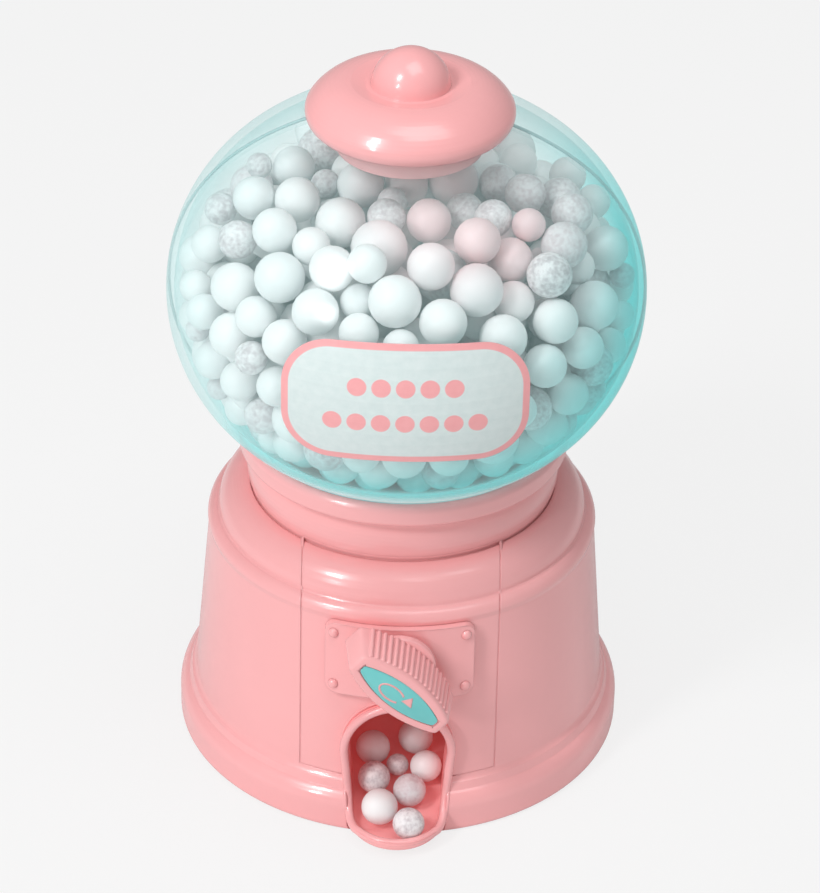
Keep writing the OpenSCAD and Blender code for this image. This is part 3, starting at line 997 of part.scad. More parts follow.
// Grip ribs that lie along the long sides
module bar_ribs() {
    reach = asin((bar_length / 2 - rib_margin) / bar_arc_r);
    lean = atan2(bar_draft, bar_depth);
    for (side = [0, 180], i = [0 : rib_count - 1])
        rotate([0, 0, side]) translate([0, bar_width / 2 - bar_arc_r, 0])
            rotate([0, 0, reach - 2 * reach * i / (rib_count - 1)])
                translate([0, bar_arc_r + bar_draft, 0]) rotate([lean, 0, 0])
                    cylinder(r = rib_r, h = (bar_depth - rib_stop) / cos(lean));
}

module knob() {
    color("lightpink") difference() {
        union() {
            rod_y(disc_r, -bar_back, -disc_back);
            from_disc() {
                intersection() {
                    bar_side(1);
                    bar_side(-1);
                    bar_ends();
                }
                bar_ribs();
            }
        }
        bar_turn() along_y(-far, -bar_face + inlay_sunk) translate([0, axis_z])
            lens(inlay_length + 2 * seat, inlay_width + 2 * seat, inlay_arc_r);
        d_shaft(-disc_back - bore_depth, 0, running);
    }
}

module knob_inlay() {
    color("mediumturquoise") bar_turn()
        along_y(-bar_face + inlay_sunk - running - inlay_t, -bar_face + inlay_sunk - running)
            translate([0, axis_z]) lens(inlay_length, inlay_width, inlay_arc_r);
}

// ---------------------------------------------------------------- chute

// The chute's mouth and the tray's round nose, moved inwards by g
module mouth(g) {
    along_y(-tray_centre, -tunnel_back + g / 2) mouth_outline(g);
    translate([0, -tray_centre, 0]) rotate_extrude() intersection() {
        mouth_outline(g);
        square(far);
    }
}

// What the rim's sweep takes off, from the arch down to the tray's lip
module mouth_cut() {
    rotate([90, 0, 90]) linear_extrude(far, center = true)
        polygon(concat([[-far, far], [-far, lip_z]],
            arc(-arch_face - sweep_r, lip_z + sweep_r, sweep_r, 270, 360, 8), [[-arch_face, far]]));
}

// A prism across the channel, from an outline in Y and Z
module across(half, points) {
    translate([-half, 0, 0]) rotate([90, 0, 90]) linear_extrude(2 * half) polygon(points);
}

module chute() {
    back_y = trough_back + chute_wall;
    ramp_start = -tunnel_back - 2;
    ramp_end = trough_back + chute_wall / 2;
    color("lightpink") difference() {
        union() {
            difference() {
                union() {
                    mouth(0);
                    slab(-chute_out, chute_out, -tunnel_back - chute_wall, back_y,
                         chute_low_z, trough_wall_z);
                }
                mouth(chute_wall);
                mouth_cut();
                slab(-chute_r, chute_r, -tunnel_back - 0.01, trough_back, chute_low_z - 1, far);
            }
            // ramp, as a thick wedge up to where the tunnel ends and a sloping floor behind
            intersection() {
                mouth(chute_wall / 2);
                across(far, [[ramp_front_y, tray_floor_z - 0.5], [ramp_front_y, ramp_at(ramp_front_y)],
                             [-tunnel_back, ramp_at(-tunnel_back)], [-tunnel_back, tray_floor_z - 0.5]]);
            }
            across(chute_r + chute_wall / 2, [
                [ramp_start, ramp_at(ramp_start) - ramp_t], [ramp_start, ramp_at(ramp_start)],
                [ramp_end, ramp_at(ramp_end)], [ramp_end, ramp_at(ramp_end) - ramp_t]]);
            for (x = [-foot_x, foot_x]) translate([x, foot_y, chute_low_z])
                cylinder(r = foot_r, h = ramp_at(foot_y) - ramp_t / 2 - chute_low_z);
        }
        for (x = [-foot_x, foot_x]) translate([x, foot_y, 0]) cylinder(r = pilot_r, h = 9);
    }
}

lid();
globe_front();
globe_back();
globe_collar();
label();
gumballs();
tray_gumballs();
base_body();
front_panel();
knob_plate();
plate_rivets();
knob();
knob_inlay();
drive_shaft();
paddle_wheel();
shaft_washer();
shaft_screw();
front_bush();
rear_bush();
wheel_housing();
housing_cap();
housing_screws();
hopper();
chute();
bottom_cover();
cover_screws();
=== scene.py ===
from math import asin, atan2, cos, pi, radians, sin, sqrt, tan

import bmesh
import bpy
import numpy as np
from mathutils import Matrix, Vector


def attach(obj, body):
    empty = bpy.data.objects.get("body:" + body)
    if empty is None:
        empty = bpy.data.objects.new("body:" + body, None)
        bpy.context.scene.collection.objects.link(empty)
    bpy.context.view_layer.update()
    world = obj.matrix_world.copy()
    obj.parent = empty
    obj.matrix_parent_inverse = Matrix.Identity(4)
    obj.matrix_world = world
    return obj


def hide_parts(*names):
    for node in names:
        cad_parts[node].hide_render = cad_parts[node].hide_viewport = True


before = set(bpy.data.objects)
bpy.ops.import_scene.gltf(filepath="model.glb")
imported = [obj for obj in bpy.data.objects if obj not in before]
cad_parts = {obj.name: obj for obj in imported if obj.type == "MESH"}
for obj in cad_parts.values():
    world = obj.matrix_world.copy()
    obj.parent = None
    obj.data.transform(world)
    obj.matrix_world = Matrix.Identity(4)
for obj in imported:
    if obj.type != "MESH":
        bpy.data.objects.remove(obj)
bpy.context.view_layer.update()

# ------------------------------------------------------------------ room
# A pale table top under a soft sky, with one window high on the left and a broad panel of
# light overhead. The camera looks down on the machine from just above its lid.

MM = 0.001
IMAGE_W, IMAGE_H = 820, 893
FOCAL = 3653
CENTRE_X, CENTRE_Y = 404.5, 383
CAMERA_TILT, CAMERA_ROLL, CAMERA_TURN = radians(32), radians(1.25), radians(-0.3)
CAMERA_REACH, CAMERA_AIM_Z, SENSOR_W = 0.650, 0.070, 36

scene = bpy.context.scene
scene.view_settings.view_transform = "Standard"


def direction(turn, rise):
    """From the machine outwards: turned from its front, and raised above the table."""
    return Vector((sin(turn) * cos(rise), -cos(turn) * cos(rise), sin(rise)))


def lens_camera():
    """The camera, with the rise, turn, roll and focal length given above."""
    back = direction(CAMERA_TURN, CAMERA_TILT)
    right = (-back).cross(Vector((0, 0, 1))).normalized()
    up = right.cross(-back)
    side = right * cos(CAMERA_ROLL) + up * sin(CAMERA_ROLL)
    top = up * cos(CAMERA_ROLL) - right * sin(CAMERA_ROLL)
    data = bpy.data.cameras.new("camera")
    data.sensor_fit = "HORIZONTAL"
    data.sensor_width = SENSOR_W
    data.lens = FOCAL / IMAGE_W * SENSOR_W
    data.shift_x = (IMAGE_W / 2 - CENTRE_X) / IMAGE_W
    data.shift_y = (CENTRE_Y - IMAGE_H / 2) / IMAGE_W
    data.clip_start = 0.01
    camera = bpy.data.objects.new("camera", data)
    turn = Matrix((side, top, back)).transposed().to_4x4()
    camera.matrix_world = Matrix.Translation(Vector((0, 0, CAMERA_AIM_Z)) + back * CAMERA_REACH) @ turn
    scene.collection.objects.link(camera)
    scene.camera = camera


lens_camera()


LAMP_AIM_Z = 0.08


def lamp(name, turn, rise, reach, size, power):
    """A rectangle of light at this reach, in metres, that faces the machine."""
    data = bpy.data.lights.new(name, "AREA")
    data.shape = "RECTANGLE"
    data.size, data.size_y = size
    data.energy = power
    spot = bpy.data.objects.new(name, data)
    away = direction(turn, rise)
    place = Matrix.Translation(Vector((0, 0, LAMP_AIM_Z)) + away * reach)
    spot.matrix_world = place @ away.to_track_quat("Z", "Y").to_matrix().to_4x4()
    scene.collection.objects.link(spot)


lamp("window", radians(-46), radians(44), 1.1, (0.16, 0.30), 4.6)
lamp("low_window", radians(-40), radians(22), 1.2, (0.12, 0.16), 2.4)
lamp("overhead", radians(35), radians(76), 1.0, (0.6, 0.6), 3.5)


class Flow:
    """A socket in a node tree, so that shader maths reads as plain expressions."""

    def __init__(self, tree, socket=None):
        self.tree, self.socket = tree, socket

    def node(self, kind, settings, inputs, out=0):
        """Adds a node with its settings and its sockets' values or links, and gives one output."""
        made = self.tree.nodes.new("ShaderNode" + kind)
        for name, value in settings.items():
            if name == "stops":
                ramp = made.color_ramp.elements
                while len(ramp) < len(value):
                    ramp.new(1)
                for stop, (place, shade) in zip(ramp, value):
                    stop.position, stop.color = place, shade
            else:
                setattr(made, name, value)
        for key, value in inputs.items():
            end = made.inputs[key] if isinstance(key, int) else next(
                s for s in made.inputs if key in (s.identifier, s.name))
            if isinstance(value, Flow):
                self.tree.links.new(value.socket, end)
            else:
                end.default_value = value
        if kind.startswith("Output"):
            return made
        found = made.outputs[out] if isinstance(out, int) else next(
            s for s in made.outputs if out in (s.identifier, s.name))
        return Flow(self.tree, found)

    def maths(self, operation, other=0.0):
        return self.node("Math", {"operation": operation}, {0: self, 1: other})

    def __add__(self, other):
        return self.maths("ADD", other)

    def __sub__(self, other):
        return self.maths("SUBTRACT", other)

    def __rsub__(self, other):
        return self.node("Math", {"operation": "SUBTRACT"}, {0: other, 1: self})

    def __mul__(self, other):
        return self.maths("MULTIPLY", other)

    def __truediv__(self, other):
        return self.maths("DIVIDE", other)

    def __pow__(self, other):
        return self.maths("POWER", other)

    def __abs__(self):
        return self.maths("ABSOLUTE")

    def __gt__(self, other):
        return self.maths("GREATER_THAN", other)

    __radd__, __rmul__ = __add__, __mul__


def srgb(*shades):
    """A screen colour, 0 to 255, as the linear colour that a socket takes."""
    shares = [v / 255 for v in shades]
    return tuple(v / 12.92 if v < 0.0405 else ((v + 0.055) / 1.055) ** 2.4 for v in shares) + (1,)


def tree_of(owner):
    owner.use_nodes = True
    owner.node_tree.nodes.clear()
    return Flow(owner.node_tree)


def blend(factor, a, b):
    """Colour a, going over to colour b as the factor goes from 0 to 1."""
    return factor.node("Mix", {"data_type": "RGBA"},
                       {"Factor_Float": factor, "A_Color": a, "B_Color": b}, "Result_Color")


PALE, SKY_LIGHT = 0.932, 0.35
world = bpy.data.worlds.new("sky")
scene.world = world
sky = tree_of(world)
path = sky.node("LightPath", {}, {}, "Is Camera Ray")
seen = path.maths("MAXIMUM", sky.node("LightPath", {}, {}, "Is Transmission Ray"))
light = sky.node("Background", {}, {"Color": (1, 1, 1, 1), "Strength": SKY_LIGHT})
paper = sky.node("Background", {}, {"Color": (PALE, PALE, PALE, 1), "Strength": 1.0})
sky.node("OutputWorld", {}, {"Surface": sky.node("MixShader", {}, {0: seen, 1: light, 2: paper})})

TABLE_HALF, TABLE_GREY, TABLE_EVEN = 2.5, 0.86, 0.86
bm = bmesh.new()
bmesh.ops.create_grid(bm, x_segments=1, y_segments=1, size=TABLE_HALF)
table = bpy.data.objects.new("table_top", bpy.data.meshes.new("table_top"))
bm.to_mesh(table.data)
bm.free()
scene.collection.objects.link(table)
table_paint = bpy.data.materials.new("table_paint")
top = tree_of(table_paint)
matt = top.node("BsdfDiffuse", {}, {"Color": (TABLE_GREY, TABLE_GREY, TABLE_GREY, 1)})
glow = top.node("Emission", {}, {"Color": (PALE, PALE, PALE, 1), "Strength": 1.0})
share = top.node("LightPath", {}, {}, "Is Camera Ray") * TABLE_EVEN
top.node("OutputMaterial", {}, {"Surface": top.node("MixShader", {}, {0: share, 1: matt, 2: glow})})
table.data.materials.append(table_paint)

# ------------------------------------------------------------------ base mouldings
# The base, its front panel, the foot cover, the collar and the lid are glossy injection
# mouldings in candy pink polystyrene. Their edges are soft, and their gloss is a little
# uneven where the plastic cooled.

# The second pink is the colour of a painted glow. It stands in for light seen through thin plastic.
CANDY_PINK, PAINTED_GLOW_PINK = srgb(253, 180, 181), srgb(255, 96, 92)
PINK_GLOSS, UNEVEN = 0.24, 0.035


def plastic(name, shade, gloss, soft_edge=0.35, coat=0.25, glow=0.0):
    """Moulded plastic: a faint cloud in the colour, long low waves in the gloss, and a painted pink glow
    as strong as glow.
    """
    made = bpy.data.materials.new(name)
    mat = tree_of(made)
    place = mat.node("TexCoord", {}, {}, "Object")
    cloud = mat.node("TexNoise", {}, {"Vector": place, "Scale": 34.0, "Detail": 3.0, "Roughness": 0.55})
    grain = mat.node("TexNoise", {}, {"Vector": place, "Scale": 420.0, "Detail": 2.0, "Roughness": 0.6})
    dark = tuple(v * (1 - 2.2 * UNEVEN) for v in shade[:3]) + (1,)
    light = tuple(min(1, v * (1 + UNEVEN)) for v in shade[:3]) + (1,)
    colour = blend(cloud * 0.8 + grain * 0.2, dark, light)
    waves = mat.node("TexNoise", {}, {"Vector": place, "Scale": 95.0, "Detail": 1.0, "Roughness": 0.4})
    edge = mat.node("Bevel", {"samples": 4}, {"Radius": soft_edge * MM})
    bump = mat.node("Bump", {}, {"Strength": 0.25, "Distance": 0.00012, "Normal": edge,
                                 "Height": waves * 0.75 + grain * 0.06})
    body = mat.node("BsdfPrincipled", {}, {
        "Base Color": colour, "Roughness": gloss - 0.05 + grain * 0.10, "Normal": bump,
        "IOR": 1.5, "Coat Weight": coat, "Coat Roughness": 0.05,
        "Emission Color": PAINTED_GLOW_PINK, "Emission Strength": glow})
    mat.node("OutputMaterial", {}, {"Surface": body})
    return made


def dress(material, *names):
    """Gives CAD nodes their finish."""
    for name in names:
        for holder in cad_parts[name].material_slots:
            holder.material = material


def piece(name, bm, material, body, sharp=40, replaces=()):
    """Turns a finished bmesh into an object that rides on a body."""
    mesh = bpy.data.meshes.new(name)
    bm.to_mesh(mesh)
    bm.free()
    mesh.shade_smooth()
    mesh.set_sharp_from_angle(angle=radians(sharp))
    mesh.materials.append(material)
    made = bpy.data.objects.new(name, mesh)
    scene.collection.objects.link(made)
    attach(made, body)
    if replaces:
        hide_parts(*replaces)
    return made


candy_pink = plastic("candy_pink", CANDY_PINK, PINK_GLOSS)
dress(candy_pink, "base_body", "front_panel", "bottom_cover", "globe_collar", "lid")

# ------------------------------------------------------------------ panel seams
# The front panel drops between two edges of the base. A lip of the base closes each gap
# from behind, so the seams read as fine pink lines.

PANEL_X, PANEL_LOW_Z, PANEL_HIGH_Z, ARCH_HALF = 17.4, 10.35, 57.5, 10.5
SEAM_WIDE, SEAM_DEEP, SEAM_THICK = 0.5, 0.06, 0.3
IN_FRONT_Y = -80.0


def to_metres(bm, place=Matrix.Identity(4)):
    bmesh.ops.transform(bm, matrix=Matrix.Scale(MM, 4) @ place, verts=bm.verts)


def drawn_out(bm, faces, move):
    """Extrudes faces by a move in millimetres. Returns the corners that moved."""
    grown = bmesh.ops.extrude_face_region(bm, geom=faces)["geom"]
    corners = [v for v in grown if isinstance(v, bmesh.types.BMVert)]
    bmesh.ops.translate(bm, verts=corners, vec=move)
    return corners


def wall_reach(x, z):
    """The radius of the base's front at this place, in millimetres."""
    reach = 0
    for body in (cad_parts["base_body"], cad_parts["front_panel"]):
        to_body = body.matrix_world.inverted()
        start = to_body @ Vector((x * MM, IN_FRONT_Y * MM, z * MM))
        found, place = body.ray_cast(start, (to_body.to_3x3() @ Vector((0, 1, 0))).normalized())[:2]
        if found:
            reach = max(reach, -(body.matrix_world @ place).y / MM)
    return sqrt(reach ** 2 + x ** 2)


def ribbon(bm, rows):
    """Joins rows of (x, z, radius) into one strip that lies just under the wall."""
    rows = [[bm.verts.new((x, -sqrt((reach - SEAM_DEEP) ** 2 - x ** 2), z)) for x, z, reach in row]
            for row in rows]
    for low, high in zip(rows, rows[1:]):
        bm.faces.new(low + high[::-1])


bm = bmesh.new()
half = SEAM_WIDE / 2
for way in (-1, 1):
    outer, inner = way * (PANEL_X + half), way * (PANEL_X - half)
    ribbon(bm, [[(x, z, wall_reach(outer, z)) for x in (inner, outer)]
                for z in np.linspace(PANEL_LOW_Z + half, PANEL_HIGH_Z, 60)])
    ribbon(bm, [[(x, z, wall_reach(outer, z)) for z in (PANEL_LOW_Z - half, PANEL_LOW_Z + half)]
                for x in np.linspace(way * ARCH_HALF, outer, 16)])
drawn_out(bm, list(bm.faces), (0, SEAM_THICK, 0))
bmesh.ops.recalc_face_normals(bm, faces=bm.faces)
to_metres(bm)
piece("panel_seams", bm, candy_pink, "machine")

# ------------------------------------------------------------------ dispensing works
# Hopper, paddle wheel, its housing and the bushes are white nylon and are hidden in the
# base. The screws and the washer are zinc-plated steel.

nylon = plastic("white_nylon", srgb(232, 230, 226), 0.42, soft_edge=0.2, coat=0.0)
dress(nylon, "hopper", "paddle_wheel", "wheel_housing", "housing_cap", "front_bush", "rear_bush",
      "drive_shaft")


def plated_steel():
    """Zinc plate, with fine brush marks in its gloss."""
    made = bpy.data.materials.new("plated_steel")
    mat = tree_of(made)
    place = mat.node("TexCoord", {}, {}, "Object")
    brush = mat.node("TexNoise", {}, {"Vector": place, "Scale": 900.0, "Detail": 3.0})
    body = mat.node("BsdfPrincipled", {}, {
        "Base Color": blend(brush, srgb(150, 152, 155), srgb(205, 207, 210)),
        "Metallic": 1.0, "Roughness": 0.22 + brush * 0.2})
    mat.node("OutputMaterial", {}, {"Surface": body})
    return made


steel = plated_steel()
dress(steel, "shaft_washer", "shaft_screw", "housing_screws", "cover_screws")

# ------------------------------------------------------------------ chute and tray
# The chute is one thin pink moulding: an arch on the front wall that sweeps out into a small
# round-nosed tray. The thin plastic lets some light through, and a faint painted glow stands in
# for it and lifts the shaded inside. Its rim is rolled smooth, and a fine bead of its own plastic
# closes the joint with the wall.

dress(plastic("thin_pink_painted_glow", CANDY_PINK, PINK_GLOSS, glow=0.09), "chute")

ARCH_FACE, TRAY_CENTRE, LIP_Z = 37.87, 38.83, 3.8
ARCH_Z, CHUTE_OUT, SWEEP, DRAFT = 16.4, 9.9, 5.0, 0.09
RIM_R, RIM_SUNK, RIM_OVER = 0.75, 0.5, 0.4
RIM_SIDE_HEIGHTS = (ARCH_Z, 14.0, 11.8, 9.8)


def tube(name, points, radius, closed=False):
    """A round strand along a line of points in millimetres."""
    line = bpy.data.curves.new(name, "CURVE")
    line.dimensions = "3D"
    line.bevel_depth = radius
    line.bevel_resolution = 4
    line.use_fill_caps = not closed
    spline = line.splines.new("POLY")
    spline.points.add(len(points) - 1)
    for spot, place in zip(spline.points, points):
        spot.co = (*place, 1)
    spline.use_cyclic_u = closed
    holder = bpy.data.objects.new(name, line)
    bm = bmesh.new()
    bm.from_mesh(holder.to_mesh())
    bpy.data.objects.remove(holder)
    bpy.data.curves.remove(line)
    return bm


def rim_point(y, z):
    """Where the rim runs at this reach and height: along the side, or round the nose."""
    beyond = max(0, -TRAY_CENTRE - y)
    reach = CHUTE_OUT + RIM_OVER - RIM_R - DRAFT * max(0, ARCH_Z - z)
    return (sqrt(reach ** 2 - beyond ** 2), y, z)


def chute_rim():
    """The rim's line, from the top of the arch down one side, round the nose and back up."""
    face = -ARCH_FACE + RIM_SUNK
    arch = CHUTE_OUT + RIM_OVER - RIM_R
    side = [(cos(t) * arch, face, ARCH_Z + sin(t) * arch)
            for t in np.linspace(pi / 2, 0, 14)[:-1]]
    side += [rim_point(face, z) for z in RIM_SIDE_HEIGHTS]
    sweep = SWEEP + RIM_SUNK
    side += [rim_point(-ARCH_FACE - SWEEP + sweep * cos(t), LIP_Z + SWEEP + sweep * sin(t))
             for t in np.linspace(0, -pi / 2, 10)]
    reach = CHUTE_OUT - RIM_R - DRAFT * (ARCH_Z - LIP_Z + RIM_SUNK)
    start = asin((ARCH_FACE + SWEEP - TRAY_CENTRE) / reach)
    side += [((reach + RIM_OVER * cos(t)) * cos(t), -TRAY_CENTRE - reach * sin(t), LIP_Z - RIM_SUNK)
             for t in np.linspace(start, pi / 2, 9)[1:]]
    return side + [(-x, y, z) for x, y, z in side[-2:0:-1]]


bm = tube("rim", chute_rim(), RIM_R, closed=True)
to_metres(bm)
piece("chute_rim", bm, candy_pink, "machine")

BEAD_R, BEAD_OUT, BEAD_ARCH_OUT, BEAD_LOW_Z, BEAD_CLEAR = 0.3, 0.1, 0.35, 2.4, 0.5


def bead_point(x, z):
    """Where the bead lies against the wall, whose reach is read just outside the chute."""
    return (x, -sqrt(wall_reach(x + BEAD_CLEAR, z) ** 2 - x ** 2) + BEAD_R / 2, z)


edge = CHUTE_OUT + BEAD_OUT
bead = [bead_point(edge - DRAFT * (ARCH_Z - z), z) for z in np.linspace(BEAD_LOW_Z, ARCH_Z, 40)[:-1]]
bead += [bead_point(edge * cos(t), ARCH_Z + (edge + BEAD_ARCH_OUT) * sin(t))
         for t in np.linspace(0, pi / 2, 16)[:-1]]
bm = tube("bead", bead + [(-x, y, z) for x, y, z in bead[::-1]], BEAD_R)
to_metres(bm)
piece("chute_bead", bm, candy_pink, "machine")

# ------------------------------------------------------------------ knob plate
# A thin raised plate follows the curve of the wall behind the thumb-turn and is held by
# four domed rivets.

dress(candy_pink, "knob_plate", "plate_rivets")

# ------------------------------------------------------------------ thumb-turn
# A lens-shaped bar with grip ribs along both long sides, moulded with the disc behind it.
# A turquoise inlay is pressed into its face and carries a raised turning arrow.

AXIS_Z, BAR_TILT, BAR_BACK = 35.8, radians(42), 39.24
BAR_LENGTH, BAR_WIDTH, BAR_END, BAR_DEPTH, BAR_DRAFT = 20.4, 8.2, 3.4, 7.8, 0.9
BAR_ROUND, DISC_R, DISC_THICK, DISC_ROUND = 0.55, 6.4, 1.5, 0.3
RIBS, RIB_R, RIB_SUNK, RIB_STOP, RIB_MARGIN, RIB_END, RIB_ROUND = 17, 0.38, 0.06, 0.9, 1.4, 1.2, 0.17
INLAY_LENGTH, INLAY_WIDTH, INLAY_END = 17.2, 5.2, 1.3
INLAY_THICK, INLAY_SUNK, INLAY_ROUND, CORNER_R = 0.24, 0.04, 0.12, 0.4
POCKET_RIM, POCKET_DEPTH = 0.92, 0.3
KNOB_PLACE = (Matrix.Translation((0, 0, AXIS_Z)) @ Matrix.Rotation(BAR_TILT, 4, "Y")
              @ Matrix.Translation((0, -BAR_BACK, 0)) @ Matrix.Rotation(pi / 2, 4, "X"))


def lens(bm, length, width, end, z):
    """A flat face between two arcs with short straight ends. Returns it with its arc radius."""
    sag = (width - end) / 2
    bow = (length ** 2 / 4 + sag ** 2) / (2 * sag)
    for way in (1, -1):
        start = bm.verts.new((way * length / 2, way * end / 2, z))
        bmesh.ops.spin(bm, geom=[start], cent=(0, way * (width / 2 - bow), z), axis=(0, 0, 1),
                       angle=2 * asin(length / 2 / bow), steps=20)
    return bm.faces.new(list(bm.verts)), bow


def widest(bm, level):
    """The largest face that lies at this height."""
    return max((f for f in bm.faces if abs(f.calc_center_median().z - level) < 0.001),
               key=lambda f: f.calc_area())


def round_corners(bm, face, size):
    """Rounds the corners of a face that lies level, and returns the face."""
    level = face.calc_center_median().z
    corners = [loop.vert for loop in face.loops if loop.calc_angle() < radians(150)]
    bmesh.ops.bevel(bm, geom=corners, offset=size, affect="VERTICES", segments=5, profile=0.5, material=-1)
    return widest(bm, level)


def rounded(bm, edges, size, steps):
    """Rounds edges over to this size."""
    bmesh.ops.bevel(bm, geom=list(edges), offset=size, affect="EDGES", segments=steps, profile=0.5,
                    material=-1)


def grip_rib(bm, side, turn, bow):
    """A rib up the bar's drafted flank, rounded at its front end."""
    lean = atan2(BAR_DRAFT, BAR_DEPTH)
    high = (BAR_DEPTH - RIB_STOP) / cos(lean)
    rib = bmesh.ops.create_cone(
        bm, cap_ends=True, segments=14, radius1=RIB_R, radius2=RIB_R, depth=high,
        matrix=Matrix.Rotation(side, 4, "Z") @ Matrix.Translation((0, BAR_WIDTH / 2 - bow, 0))
        @ Matrix.Rotation(turn, 4, "Z") @ Matrix.Translation((0, bow + BAR_DRAFT - RIB_SUNK, 0))
        @ Matrix.Rotation(lean, 4, "X") @ Matrix.Translation((0, 0, high / 2)))["verts"]
    end = {e for v in rib for e in v.link_edges if min(w.co.z for w in e.verts) > high - RIB_END}
    rounded(bm, end, RIB_ROUND, 3)


def thumb_turn():
    """The bar with its pocket, its ribs and the disc behind it, in one moulding."""
    bm = bmesh.new()
    face, bow = lens(bm, BAR_LENGTH, BAR_WIDTH, BAR_END, BAR_DEPTH)
    back = drawn_out(bm, [face], (0, 0, -BAR_DEPTH))
    bmesh.ops.scale(bm, verts=back, vec=(1 + 2 * BAR_DRAFT / BAR_LENGTH, 1 + 2 * BAR_DRAFT / BAR_WIDTH, 1))
    bmesh.ops.recalc_face_normals(bm, faces=bm.faces)
    corners = [e for e in bm.edges if abs(e.verts[0].co.z - e.verts[1].co.z) > 1
               and len(e.link_faces) == 2 and e.calc_face_angle() > 0.5]
    front = [e for e in bm.edges if min(v.co.z for v in e.verts) > BAR_DEPTH - 0.01]
    rounded(bm, corners + front, BAR_ROUND, 3)
    face = widest(bm, BAR_DEPTH)
    bmesh.ops.inset_region(bm, faces=[face], thickness=POCKET_RIM)
    face = round_corners(bm, face, CORNER_R)
    drawn_out(bm, [face], (0, 0, -POCKET_DEPTH))
    bmesh.ops.delete(bm, geom=[face], context="FACES_ONLY")
    bmesh.ops.recalc_face_normals(bm, faces=bm.faces)

    reach = asin((BAR_LENGTH / 2 - RIB_MARGIN) / bow)
    for side in (0, pi):
        for turn in np.linspace(-reach, reach, RIBS):
            grip_rib(bm, side, turn, bow)
    disc = bmesh.ops.create_cone(
        bm, cap_ends=True, segments=72, radius1=DISC_R, radius2=DISC_R, depth=DISC_THICK,
        matrix=Matrix.Translation((0, 0, -DISC_THICK / 2)))["verts"]
    rims = {e for v in disc for e in v.link_edges if e.verts[0].co.z == e.verts[1].co.z}
    rounded(bm, rims, DISC_ROUND, 3)
    to_metres(bm, KNOB_PLACE)
    return bm


piece("thumb_turn", thumb_turn(), candy_pink, "rotor", sharp=50, replaces=["knob"])


def turquoise_satin():
    """Satin plastic, with a fine grain from the mould."""
    made = bpy.data.materials.new("turquoise_satin")
    mat = tree_of(made)
    place = mat.node("TexCoord", {}, {}, "Object")
    cloud = mat.node("TexNoise", {}, {"Vector": place, "Scale": 160.0, "Detail": 3.0})
    grain = mat.node("TexNoise", {}, {"Vector": place, "Scale": 1500.0, "Detail": 2.0})
    bump = mat.node("Bump", {}, {"Strength": 0.2, "Distance": 0.00004, "Height": grain})
    body = mat.node("BsdfPrincipled", {}, {
        "Base Color": blend(cloud, srgb(104, 196, 195), srgb(128, 215, 213)),
        "Roughness": 0.36 + cloud * 0.14, "Normal": bump})
    mat.node("OutputMaterial", {}, {"Surface": body})
    return made


bm = bmesh.new()
face, _ = lens(bm, INLAY_LENGTH, INLAY_WIDTH, INLAY_END, BAR_DEPTH - INLAY_SUNK)
face = round_corners(bm, face, CORNER_R)
drawn_out(bm, [face], (0, 0, -INLAY_THICK))
bmesh.ops.recalc_face_normals(bm, faces=bm.faces)
rounded(bm, [e for e in bm.edges if min(v.co.z for v in e.verts) > BAR_DEPTH - 0.1], INLAY_ROUND, 2)
to_metres(bm, KNOB_PLACE)
piece("face_inlay", bm, turquoise_satin(), "rotor", replaces=["knob_inlay"])

ARROW_X, ARROW_Y, ARROW_LONG, ARROW_SHORT, ARROW_LINE = -1.35, -0.42, 2.6, 1.35, 0.2
ARROW_HEAD = [(0.95, -0.45, 0), (2.0, 1.35, 0), (3.25, -0.45, 0)]
ARROW_FLAT, ARROW_SUNK = 0.4, 0.05
ring = [(ARROW_X + ARROW_LONG * cos(t), ARROW_Y + ARROW_SHORT * sin(t), 0)
        for t in np.linspace(radians(38), radians(318), 40)]
bm = tube("arrow", ring, ARROW_LINE)
head = bm.faces.new([bm.verts.new(corner) for corner in ARROW_HEAD])
drawn_out(bm, [head], (0, 0, ARROW_LINE))
bmesh.ops.scale(bm, vec=(1, 1, ARROW_FLAT), verts=bm.verts)
bmesh.ops.recalc_face_normals(bm, faces=bm.faces)
to_metres(bm, KNOB_PLACE @ Matrix.Translation((0, 0, BAR_DEPTH - ARROW_SUNK)))
piece("turn_arrow", bm, candy_pink, "rotor")

# ------------------------------------------------------------------ globe
# Two clear halves moulded thin in styrene with a breath of aqua, which gathers where the
# wall is seen edge on. They are cemented together along a seam that runs over the top.

GLOBE_R, GLOBE_RISE, GLOBE_SIDE_R, GLOBE_Z = 42.0, 36.2, 33.0, 90.0
GLOBE_WALL, GLOBE_TURN, NECK_R, NECK_TOP, FOOT_R, FOOT_Z = 1.4, radians(-2), 14.5, 126.4, 27.2, 60.0
SIDE_OUT = GLOBE_R - GLOBE_SIDE_R
POLAR_R = (SIDE_OUT ** 2 + GLOBE_RISE ** 2 - GLOBE_SIDE_R ** 2) / (2 * (GLOBE_RISE - GLOBE_SIDE_R))
POLAR_DROP = POLAR_R - GLOBE_RISE
OVAL_TURN = atan2(POLAR_DROP, SIDE_OUT)


def arc(out, z, radius, turns):
    """A stretch of the outline, as (radius, height)."""
    return [(out + radius * cos(t), z + radius * sin(t)) for t in turns]


def oval(depth, steps=26):
    """The globe's outline from foot to neck, moved inwards by a depth, as (radius, height)."""
    polar = POLAR_R - depth
    low = asin((FOOT_R - depth) / polar)
    top = asin((NECK_R - depth) / polar)
    return (arc(0, GLOBE_Z + POLAR_DROP, polar, -np.linspace(pi / 2 - low, OVAL_TURN, steps // 2)[:-1])
            + arc(SIDE_OUT, GLOBE_Z, GLOBE_SIDE_R - depth, np.linspace(-OVAL_TURN, OVAL_TURN, 2 * steps))
            + arc(0, GLOBE_Z - POLAR_DROP, polar, np.linspace(OVAL_TURN, pi / 2 - top, steps)[1:]))


